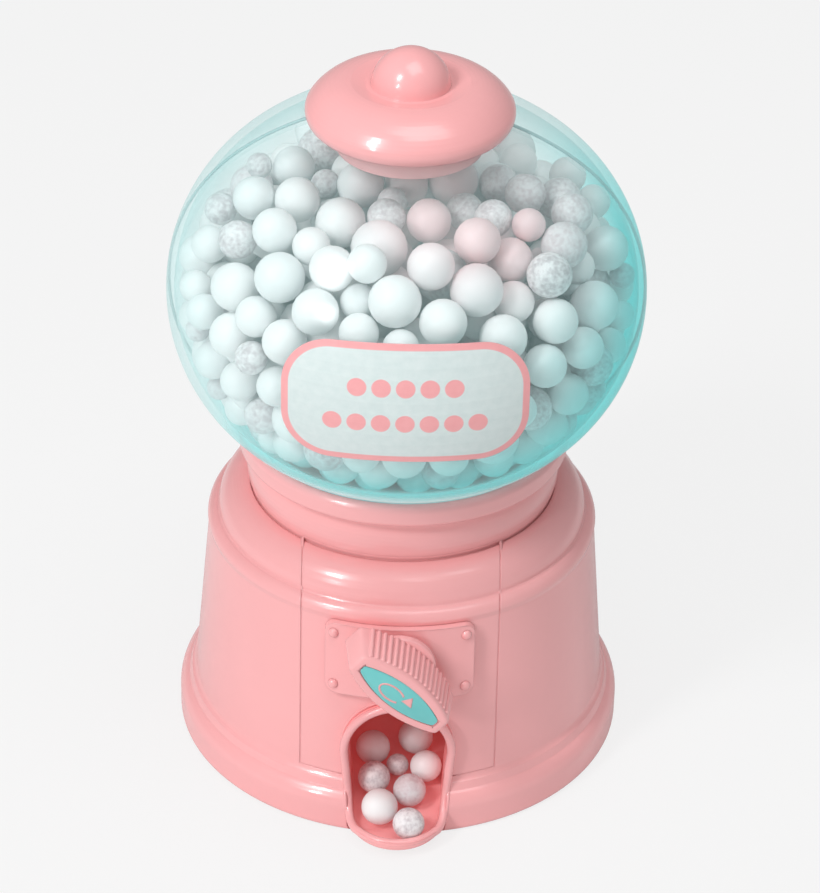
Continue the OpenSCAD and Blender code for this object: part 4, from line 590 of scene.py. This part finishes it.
def half_globe(start, sweep):
    """Spins the wall's outline through part of a turn, and closes both cut ends."""
    outline = ([(FOOT_R - GLOBE_WALL, FOOT_Z), (FOOT_R, FOOT_Z)] + oval(0)
               + [(NECK_R, NECK_TOP), (NECK_R - GLOBE_WALL, NECK_TOP)] + oval(GLOBE_WALL)[::-1])
    bm = bmesh.new()
    loop = [bm.verts.new((x * cos(start), x * sin(start), z)) for x, z in outline]
    edges = [bm.edges.new((a, b)) for a, b in zip(loop, loop[1:] + loop[:1])]
    bmesh.ops.spin(bm, geom=loop + edges, cent=(0, 0, 0), axis=(0, 0, 1), angle=sweep, steps=72)
    bmesh.ops.holes_fill(bm, edges=[e for e in bm.edges if e.is_boundary], sides=0)
    bmesh.ops.recalc_face_normals(bm, faces=bm.faces)
    to_metres(bm)
    return bm


CLEAR_AQUA, MILKY_AQUA_AND_GLOW = srgb(82, 238, 238), srgb(196, 238, 238)


def clear_styrene():
    """Thin clear plastic: what is behind shows through, tinted and milky towards the edges. The milk also
    carries a painted glow.
    """
    made = bpy.data.materials.new("clear_styrene")
    mat = tree_of(made)
    edge = mat.node("LayerWeight", {}, {"Blend": 0.5}, "Facing")
    place = mat.node("TexCoord", {}, {}, "Object")
    across = mat.node("SeparateXYZ", {}, {"Vector": place}, "X")
    down = GLOBE_Z * MM - mat.node("SeparateXYZ", {}, {"Vector": place}, "Z")
    # The tint grows towards the lower right. On top of the plastic's own aqua, this is a painted colour
    # cast from the surroundings on that side.
    side = mat.node("MapRange", {"interpolation_type": "SMOOTHSTEP"},
                    {"Value": across * 0.8 + down * 1.2, "From Min": -0.012, "From Max": 0.03,
                     "To Min": 0.12, "To Max": 1.35})
    # Painted light: towards the foot the milk and its glow thicken, to lift the shade between the lowest
    # gumballs and the collar.
    foot_painted_light = mat.node("MapRange", {"interpolation_type": "SMOOTHSTEP"},
                    {"Value": down, "From Min": 0.021, "From Max": 0.0265, "To Min": 0.0, "To Max": 1.0})
    swirl = mat.node("TexNoise", {}, {"Vector": place, "Scale": 26.0, "Detail": 1.0, "Roughness": 0.4})
    bump = mat.node("Bump", {}, {"Strength": 0.35, "Distance": 0.0004, "Height": swirl})
    clear = mat.node("BsdfTransparent", {}, {"Color": (1, 1, 1, 1)})
    aqua = mat.node("BsdfTransparent", {}, {"Color": CLEAR_AQUA})
    # The milk is haze in the plastic. Its emission is a painted glow, because the shell is no lamp.
    milk_and_glow = mat.node("BsdfPrincipled", {}, {
        "Base Color": MILKY_AQUA_AND_GLOW, "Roughness": 0.5, "Specular IOR Level": 0.0,
        "Emission Color": MILKY_AQUA_AND_GLOW, "Emission Strength": 0.28})
    gloss = mat.node("BsdfGlossy", {}, {"Color": (1, 1, 1, 1), "Roughness": 0.17, "Normal": bump})
    body = mat.node("MixShader", {}, {0: edge ** 2.4 * side, 1: clear, 2: aqua})
    body = mat.node("MixShader", {}, {0: 0.07 + edge ** 5.0 * 0.35 + foot_painted_light * 0.75, 1: body, 2: milk_and_glow})
    body = mat.node("MixShader", {}, {0: 0.016 + edge ** 5.0 * 0.5, 1: body, 2: gloss})
    mat.node("OutputMaterial", {}, {"Surface": body})
    return made


def cement_line():
    """The pale line of solvent cement that shows along the seam."""
    made = bpy.data.materials.new("cement_line")
    mat = tree_of(made)
    body = mat.node("BsdfPrincipled", {}, {
        "Base Color": srgb(176, 212, 214), "Roughness": 0.25, "Alpha": 0.55})
    mat.node("OutputMaterial", {}, {"Surface": body})
    return made


styrene = clear_styrene()
SEAM_GAP = 0.0016
piece("globe_front_shell", half_globe(pi + GLOBE_TURN, pi - SEAM_GAP), styrene, "machine",
      replaces=["globe_front"])
piece("globe_back_shell", half_globe(GLOBE_TURN, pi - SEAM_GAP), styrene, "machine",
      replaces=["globe_back"])

SEAM_LINE = 0.28
cement = cement_line()
for side, turn in (("right", GLOBE_TURN), ("left", GLOBE_TURN + pi)):
    bm = tube("seam", [(x * cos(turn), x * sin(turn), z) for x, z in oval(SEAM_LINE)], SEAM_LINE)
    to_metres(bm)
    piece("globe_seam_" + side, bm, cement, "machine")

# ------------------------------------------------------------------ gumballs
# Sugar-shelled gumballs, 6 to 10 mm across. Most are plain white with a powdery sheen, and
# some are speckled where the shell has rubbed. They are poured in and have settled.

# The gumballs that lie at the front: x, y and z in millimetres, and diameter.
PLAIN = [
    (-20, 6, 110, 7.5), (-26, -5, 110, 7.1), (-19, -6, 110, 8.0), (-22, -15, 109, 7.8),
    (-34, -4, 100, 6.6), (-12, -13, 109, 8.8), (-9, -1, 110, 8.3), (-5, -20, 109, 9.8),
    (3, -12, 110, 7.8), (8, 4, 109, 9.0), (12, -19, 110, 8.1), (4, -26, 109, 8.2),
    (-16, -17, 108, 6.7), (-12, -25, 107, 7.9), (-21, -22, 104, 8.8), (-29, -17, 99, 8.5),
    (-36, -7, 93, 5.8), (-35, -13, 92, 6.4), (-3, -30, 105, 9.1), (11, -27, 105, 9.2),
    (-8, -27, 103, 6.4), (-15, -29, 102, 8.1), (-25, -24, 98, 7.2), (-30, -21, 92, 7.9),
    (6, -32, 102, 8.2), (-8, -33, 100, 6.9), (-1, -35, 99, 6.3), (16, -30, 98, 8.3),
    (-20, -29, 96, 7.8), (-33, -14, 83, 6.9), (-28, -23, 84, 7.1), (-22, -30, 86, 7.0),
    (-29, -15, 74, 6.4), (-23, -19, 70, 5.9), (-18, -25, 72, 7.2), (-8, -33, 76, 6.8),
    (-5, -22, 64, 7.3), (0, -33, 76, 7.9), (2, -22, 64, 7.8), (8, -32, 76, 7.3), (9, -21, 65, 7.3),
    (16, -25, 71, 7.2), (23, -28, 91, 7.6), (25, -24, 98, 7.9), (32, -15, 96, 8.6), (30, -21, 91, 7.4),
    (35, -11, 85, 6.4), (37, -4, 87, 5.3), (27, -23, 82, 7.4), (24, -22, 75, 7.5), (20, -31, 84, 6.5),
    (34, -2, 100, 8.1), (20, -13, 109, 5.9), (18, -17, 106, 7.9), (18, -23, 101, 7.3),
    (29, -12, 101, 6.3), (32, 9, 102, 6.2), (28, 12, 106, 6.7),
]
SPECKLED = [
    (-26, 5, 110, 4.6), (-32, 2, 104, 5.8), (-29, -11, 105, 6.8), (-14, 2, 109, 5.2),
    (-4, -12, 110, 6.8), (-3, -4, 109, 5.4), (-26, -27, 91, 5.9), (-36, -11, 87, 4.3),
    (-32, -13, 76, 4.5), (-24, -25, 78, 6.7), (-12, -21, 65, 5.9), (33, -14, 78, 4.9),
    (23, -21, 105, 7.9), (26, -13, 106, 8.2), (28, -5, 108, 7.4), (15, -11, 110, 6.7),
    (20, -2, 110, 7.2), (15, 5, 108, 7.0), (10, -7, 109, 6.6), (37, -2, 94, 4.6),
]

# Diameters of the others, each with its share of the heap.
SIZE_SHARES = {6.2: 0.08, 6.8: 0.16, 7.3: 0.22, 7.8: 0.22, 8.2: 0.16, 8.8: 0.10, 9.4: 0.06}
RUBBED_SHARE, FRONT_WEIGHT, SHELL_SHARE = 0.17, 0.25, 0.985

FILL_Z, FILL_HEADROOM = 113.4, 1
HOPPER_LOW_Z, HOPPER_TOP_Z, THROAT_R, HOPPER_TOP_R = 50.9, 61.2, 7.3, 24.6
FUNNEL = atan2(HOPPER_TOP_Z - HOPPER_LOW_Z, HOPPER_TOP_R - THROAT_R)
WALL_GAP, FUNNEL_GAP = 0.25, 0.2

# The heap starts as a loose stack of layers, and settles in small steps.
STACK_HALF, STACK_PITCH, STACK_LOW_Z, STACK_RISE, STACK_LAYERS, STACK_STIR = 44, 7.6, 54, 5.6, 11, 1.2
STACK_WALL, STACK_FUNNEL, STACK_TOP, STACK_APART = 3.2, 4.5, 3, 5.4
STEPS, FALLING_STEPS, FALL, PUSH, HOLD = 220, 150, 0.06, 0.55, 0.02
SEEN_DEPTH, SEEN_TOP = 6.5, 11
TINY = 1e-6


def wall_room(at):
    """Distance inwards from the globe's inner wall, and the direction back in."""
    flat = np.hypot(at[:, 0], at[:, 1])
    high = at[:, 2] - GLOBE_Z
    belly = (flat > SIDE_OUT) & (np.arctan2(np.abs(high), flat - SIDE_OUT) < OVAL_TURN)
    across = np.where(belly, flat - SIDE_OUT, flat)
    up = np.where(belly, high, high + np.sign(high) * POLAR_DROP)
    far = np.hypot(across, up)
    room = np.where(belly, GLOBE_SIDE_R, POLAR_R) - GLOBE_WALL - far
    aside = across / np.maximum(flat, TINY)
    out = np.stack([aside * at[:, 0], aside * at[:, 1], up], 1)
    return room, -out / np.maximum(far, TINY)[:, None]


def funnel_z(at):
    """Height of the hopper's surface under each place."""
    flat = np.hypot(at[:, 0], at[:, 1])
    return HOPPER_LOW_Z + np.maximum(0, flat - THROAT_R) * tan(FUNNEL)


def loose_stack(rng, front):
    """Staggered layers that fill the globe and leave the front gumballs their places."""
    row = np.arange(-STACK_HALF, STACK_HALF, STACK_PITCH)
    stagger = [STACK_PITCH / 2 * (layer % 2) for layer in range(STACK_LAYERS)]
    at = np.array([(x + stagger[layer], y + stagger[layer], STACK_LOW_Z + STACK_RISE * layer)
                   for layer in range(STACK_LAYERS) for x in row for y in row])
    at += rng.uniform(-STACK_STIR, STACK_STIR, at.shape)
    room, _ = wall_room(at)
    above = at[:, 2] - funnel_z(at)
    at = at[(room > STACK_WALL) & (above > STACK_FUNNEL) & (at[:, 2] < FILL_Z - STACK_TOP)]
    apart = np.linalg.norm(at[:, None] - front[None, :, :3], axis=2).min(1)
    return at[apart > STACK_APART]


def pour():
    """Fills the globe round the gumballs that lie at its front, and lets the heap settle."""
    rng = np.random.default_rng(12)
    front = np.array(PLAIN + SPECKLED)
    loose = loose_stack(rng, front)
    sizes = rng.choice(list(SIZE_SHARES), len(loose), p=list(SIZE_SHARES.values()))
    rubbed = [False] * len(PLAIN) + [True] * len(SPECKLED) + list(rng.random(len(loose)) < RUBBED_SHARE)
    at = np.vstack([front[:, :3], loose])
    r = np.concatenate([front[:, 3], sizes]) / 2
    weight = np.concatenate([np.full(len(front), FRONT_WEIGHT), np.ones(len(loose))])
    home = at.copy()
    others = 1 - np.eye(len(at))
    for step in range(STEPS):
        gap = at[:, None] - at[None]
        far = np.linalg.norm(gap, axis=2) + np.eye(len(at))
        deep = np.clip(r[:, None] + r[None] - far, 0, None) * others
        share = weight[:, None] / (weight[:, None] + weight[None])
        at += PUSH * (gap / far[..., None] * (deep * share)[..., None]).sum(1)
        at[: len(front)] += HOLD * (home[: len(front)] - at[: len(front)])
        if step < FALLING_STEPS:
            at[len(front):, 2] -= FALL
        room, inwards = wall_room(at)
        at += inwards * np.clip(r + WALL_GAP - room, 0, None)[:, None]
        at[:, 2] = np.maximum(at[:, 2], funnel_z(at) + (r + FUNNEL_GAP) / cos(FUNNEL))
        at[:, 2] = np.minimum(at[:, 2], FILL_Z + FILL_HEADROOM - r)
    room, _ = wall_room(at)
    seen = (room - r < SEEN_DEPTH) | (at[:, 2] > FILL_Z - SEEN_TOP)
    return at, r * SHELL_SHARE, np.array(rubbed), seen


def balls(centres, radii, rounds, rng):
    """Gumballs, each in a random turn and with a tone of its own."""
    bm = bmesh.new()
    tone = bm.verts.layers.float.new("tone")
    for centre, radius in zip(centres, radii):
        turn = Matrix.Rotation(rng.uniform(0, 6), 4, Vector(rng.normal(size=3)).normalized())
        made = bmesh.ops.create_icosphere(bm, subdivisions=rounds, radius=radius,
                                          matrix=Matrix.Translation(centre) @ turn)["verts"]
        shade = rng.random()
        for v in made:
            v[tone] = shade
    to_metres(bm)
    return bm


# A painted reflection of the lid's pink lies on the gumballs round this place, in metres.
PAINTED_LID_REFLECTION_AT = (0.010, -0.012, 0.114)


def sugar_shell(name, rubbed):
    """A powdery sugar shell. Its tone differs a little from ball to ball, and those near the lid carry a
    painted reflection of its pink.
    """
    made = bpy.data.materials.new(name)
    mat = tree_of(made)
    place = mat.node("TexCoord", {}, {}, "Object")
    tone = mat.node("Attribute", {"attribute_name": "tone"}, {}, "Fac")
    dust = mat.node("TexNoise", {}, {"Vector": place, "Scale": 420.0, "Detail": 4.0, "Roughness": 0.6})
    pores = mat.node("TexNoise", {}, {"Vector": place, "Scale": 1400.0, "Detail": 2.0})
    colour = blend(tone, srgb(243, 247, 248), srgb(252, 252, 252))
    colour = blend(dust * 0.10, colour, srgb(214, 212, 214))
    # Painted reflection: the gumballs near the lid take on its pink.
    under_lid = place.node("VectorMath", {"operation": "DISTANCE"}, {0: place, 1: PAINTED_LID_REFLECTION_AT}, "Value")
    painted_lid_pink = mat.node("MapRange", {}, {"Value": under_lid, "From Min": 0.012, "From Max": 0.023,
                                      "To Min": 0.7, "To Max": 0.0})
    colour = blend(painted_lid_pink, colour, srgb(244, 196, 199))
    if rubbed:
        patch = mat.node("ValToRGB", {"stops": [(0.38, (0, 0, 0, 1)), (0.58, (1, 1, 1, 1))]},
                         {"Fac": dust * 0.5 + pores * 0.5})
        bare = blend(tone, srgb(214, 204, 207), srgb(203, 197, 200))
        colour = blend(tone, srgb(232, 230, 232), srgb(243, 242, 243))
        colour = blend(patch, bare, colour)
    bump = mat.node("Bump", {}, {"Strength": 0.5, "Distance": 0.00014 if rubbed else 0.00006,
                                 "Height": dust * 0.6 + pores * 0.4})
    body = mat.node("BsdfPrincipled", {}, {
        "Base Color": colour, "Roughness": 0.42 + dust * 0.2, "Normal": bump,
        "Subsurface Weight": 0.5, "Subsurface Radius": (1, 0.95, 0.95), "Subsurface Scale": 0.003,
        "Coat Weight": 0.12, "Coat Roughness": 0.35})
    mat.node("OutputMaterial", {}, {"Surface": body})
    return made


white_shell = sugar_shell("white_sugar_shell", False)
rubbed_shell = sugar_shell("speckled_sugar_shell", True)
at, r, rubbed, seen = pour()
rng = np.random.default_rng(3)
for name, mask, rounds, shell in (("gumballs_white", seen & ~rubbed, 3, white_shell),
                                  ("gumballs_speckled", seen & rubbed, 3, rubbed_shell),
                                  ("gumballs_inner", ~seen, 2, white_shell)):
    piece(name, balls(at[mask], r[mask], rounds, rng), shell, "machine", sharp=180,
          replaces=["gumballs"])

# The last turns dropped a few small ones, which lie on the ramp and in the tray: x and y,
# diameter, and whether the shell is rubbed.
DROPPED = [
    (2.2, -43, 5.7, True), (-3, -39.4, 6.5, False), (2.3, -35.4, 5.9, True), (-4.1, -32.7, 5.8, True),
    (5.2, -30, 5.7, False), (0.1, -29, 4, True), (3.3, -23.8, 6.3, False), (-4.4, -26.3, 6.2, False),
]
RAMP_FRONT_Y, RAMP_BACK_Y, RAMP_LOW_Z, RAMP_HIGH_Z, RAMP_GAP = -41.0, 10.1, 1.7, 14.8, 0.1
SLOPE = atan2(RAMP_HIGH_Z - RAMP_LOW_Z, RAMP_BACK_Y - RAMP_FRONT_Y)


def on_ramp(x, y, diameter):
    """The middle of a gumball that lies on the ramp, or on the level tray in front of it."""
    ramp_z = RAMP_LOW_Z + max(0, y - RAMP_FRONT_Y) * tan(SLOPE)
    return (x, y, ramp_z + diameter / 2 / cos(SLOPE) + RAMP_GAP)


for name, worn, shell in (("tray_gumballs_white", False, white_shell),
                          ("tray_gumballs_speckled", True, rubbed_shell)):
    some = [ball[:3] for ball in DROPPED if ball[3] == worn]
    piece(name, balls([on_ramp(*ball) for ball in some], [ball[2] / 2 for ball in some], 4, rng), shell,
          "machine", sharp=180, replaces=["tray_gumballs"])

# ------------------------------------------------------------------ label
# A rounded paper sticker, pale ice blue inside a pink border, with two rows of printed
# pink candies where the maker's words would be.

LABEL_W, LABEL_H, LABEL_CORNER, LABEL_Z, LABEL_TILT = 41.4, 22.0, 8.4, 91.6, radians(14)
BORDER, ROW_RISE, DOT_PITCH, DOT_R, INK_BLUR = 1.15, 3.25, 4.05, 1.62, 0.06


def past(measure, limit):
    """How far a measure lies past a limit on either side, or 0."""
    over = abs(measure) - limit
    return over.maths("MAXIMUM", 0.0)


def printed(tree, measure, limit):
    """1 where a measure is under a limit, with the soft edge of a print."""
    return tree.node("MapRange", {}, {"Value": measure, "From Min": limit - INK_BLUR,
                                      "From Max": limit + INK_BLUR, "To Min": 1.0, "To Max": 0.0})


def printed_paper():
    """Paper with its border and candies printed by measure from the label's middle."""
    made = bpy.data.materials.new("printed_paper")
    mat = tree_of(made)
    place = mat.node("TexCoord", {}, {}, "Object")
    along = mat.node("SeparateXYZ", {}, {"Vector": place}, "X") * (1 / MM)
    out = mat.node("SeparateXYZ", {}, {"Vector": place}, "Y") * (1 / MM) + GLOBE_R
    high = mat.node("SeparateXYZ", {}, {"Vector": place}, "Z") * (1 / MM) - LABEL_Z
    rise = high * cos(LABEL_TILT) + out * sin(LABEL_TILT)
    # distance inside the rounded outline
    over_x = past(along, LABEL_W / 2 - LABEL_CORNER)
    over_y = past(rise, LABEL_H / 2 - LABEL_CORNER)
    border = printed(mat, LABEL_CORNER - (over_x * over_x + over_y * over_y) ** 0.5, BORDER)
    # five candies over seven, on one pitch
    upper = rise > 0.0
    last = 3.0 - upper
    step = (along / DOT_PITCH).maths("ROUND").maths("MINIMUM", last).maths("MAXIMUM", last * -1.0)
    off_x = along - step * DOT_PITCH
    off_y = abs(rise) - ROW_RISE
    dots = printed(mat, (off_x * off_x + off_y * off_y) ** 0.5, DOT_R)
    fibre = mat.node("TexNoise", {}, {"Vector": place, "Scale": 700.0, "Detail": 4.0})
    paper = blend(fibre, srgb(208, 224, 223), srgb(226, 237, 236))
    ink = blend(fibre, srgb(243, 164, 167), srgb(250, 178, 180))
    colour = blend(border.maths("MAXIMUM", dots), paper, ink)
    bump = mat.node("Bump", {}, {"Strength": 0.25, "Distance": 0.00003, "Height": fibre})
    body = mat.node("BsdfPrincipled", {}, {
        "Base Color": colour, "Roughness": 0.4 + fibre * 0.12, "Normal": bump, "Coat Weight": 0.1})
    mat.node("OutputMaterial", {}, {"Surface": body})
    return made


dress(printed_paper(), "label")
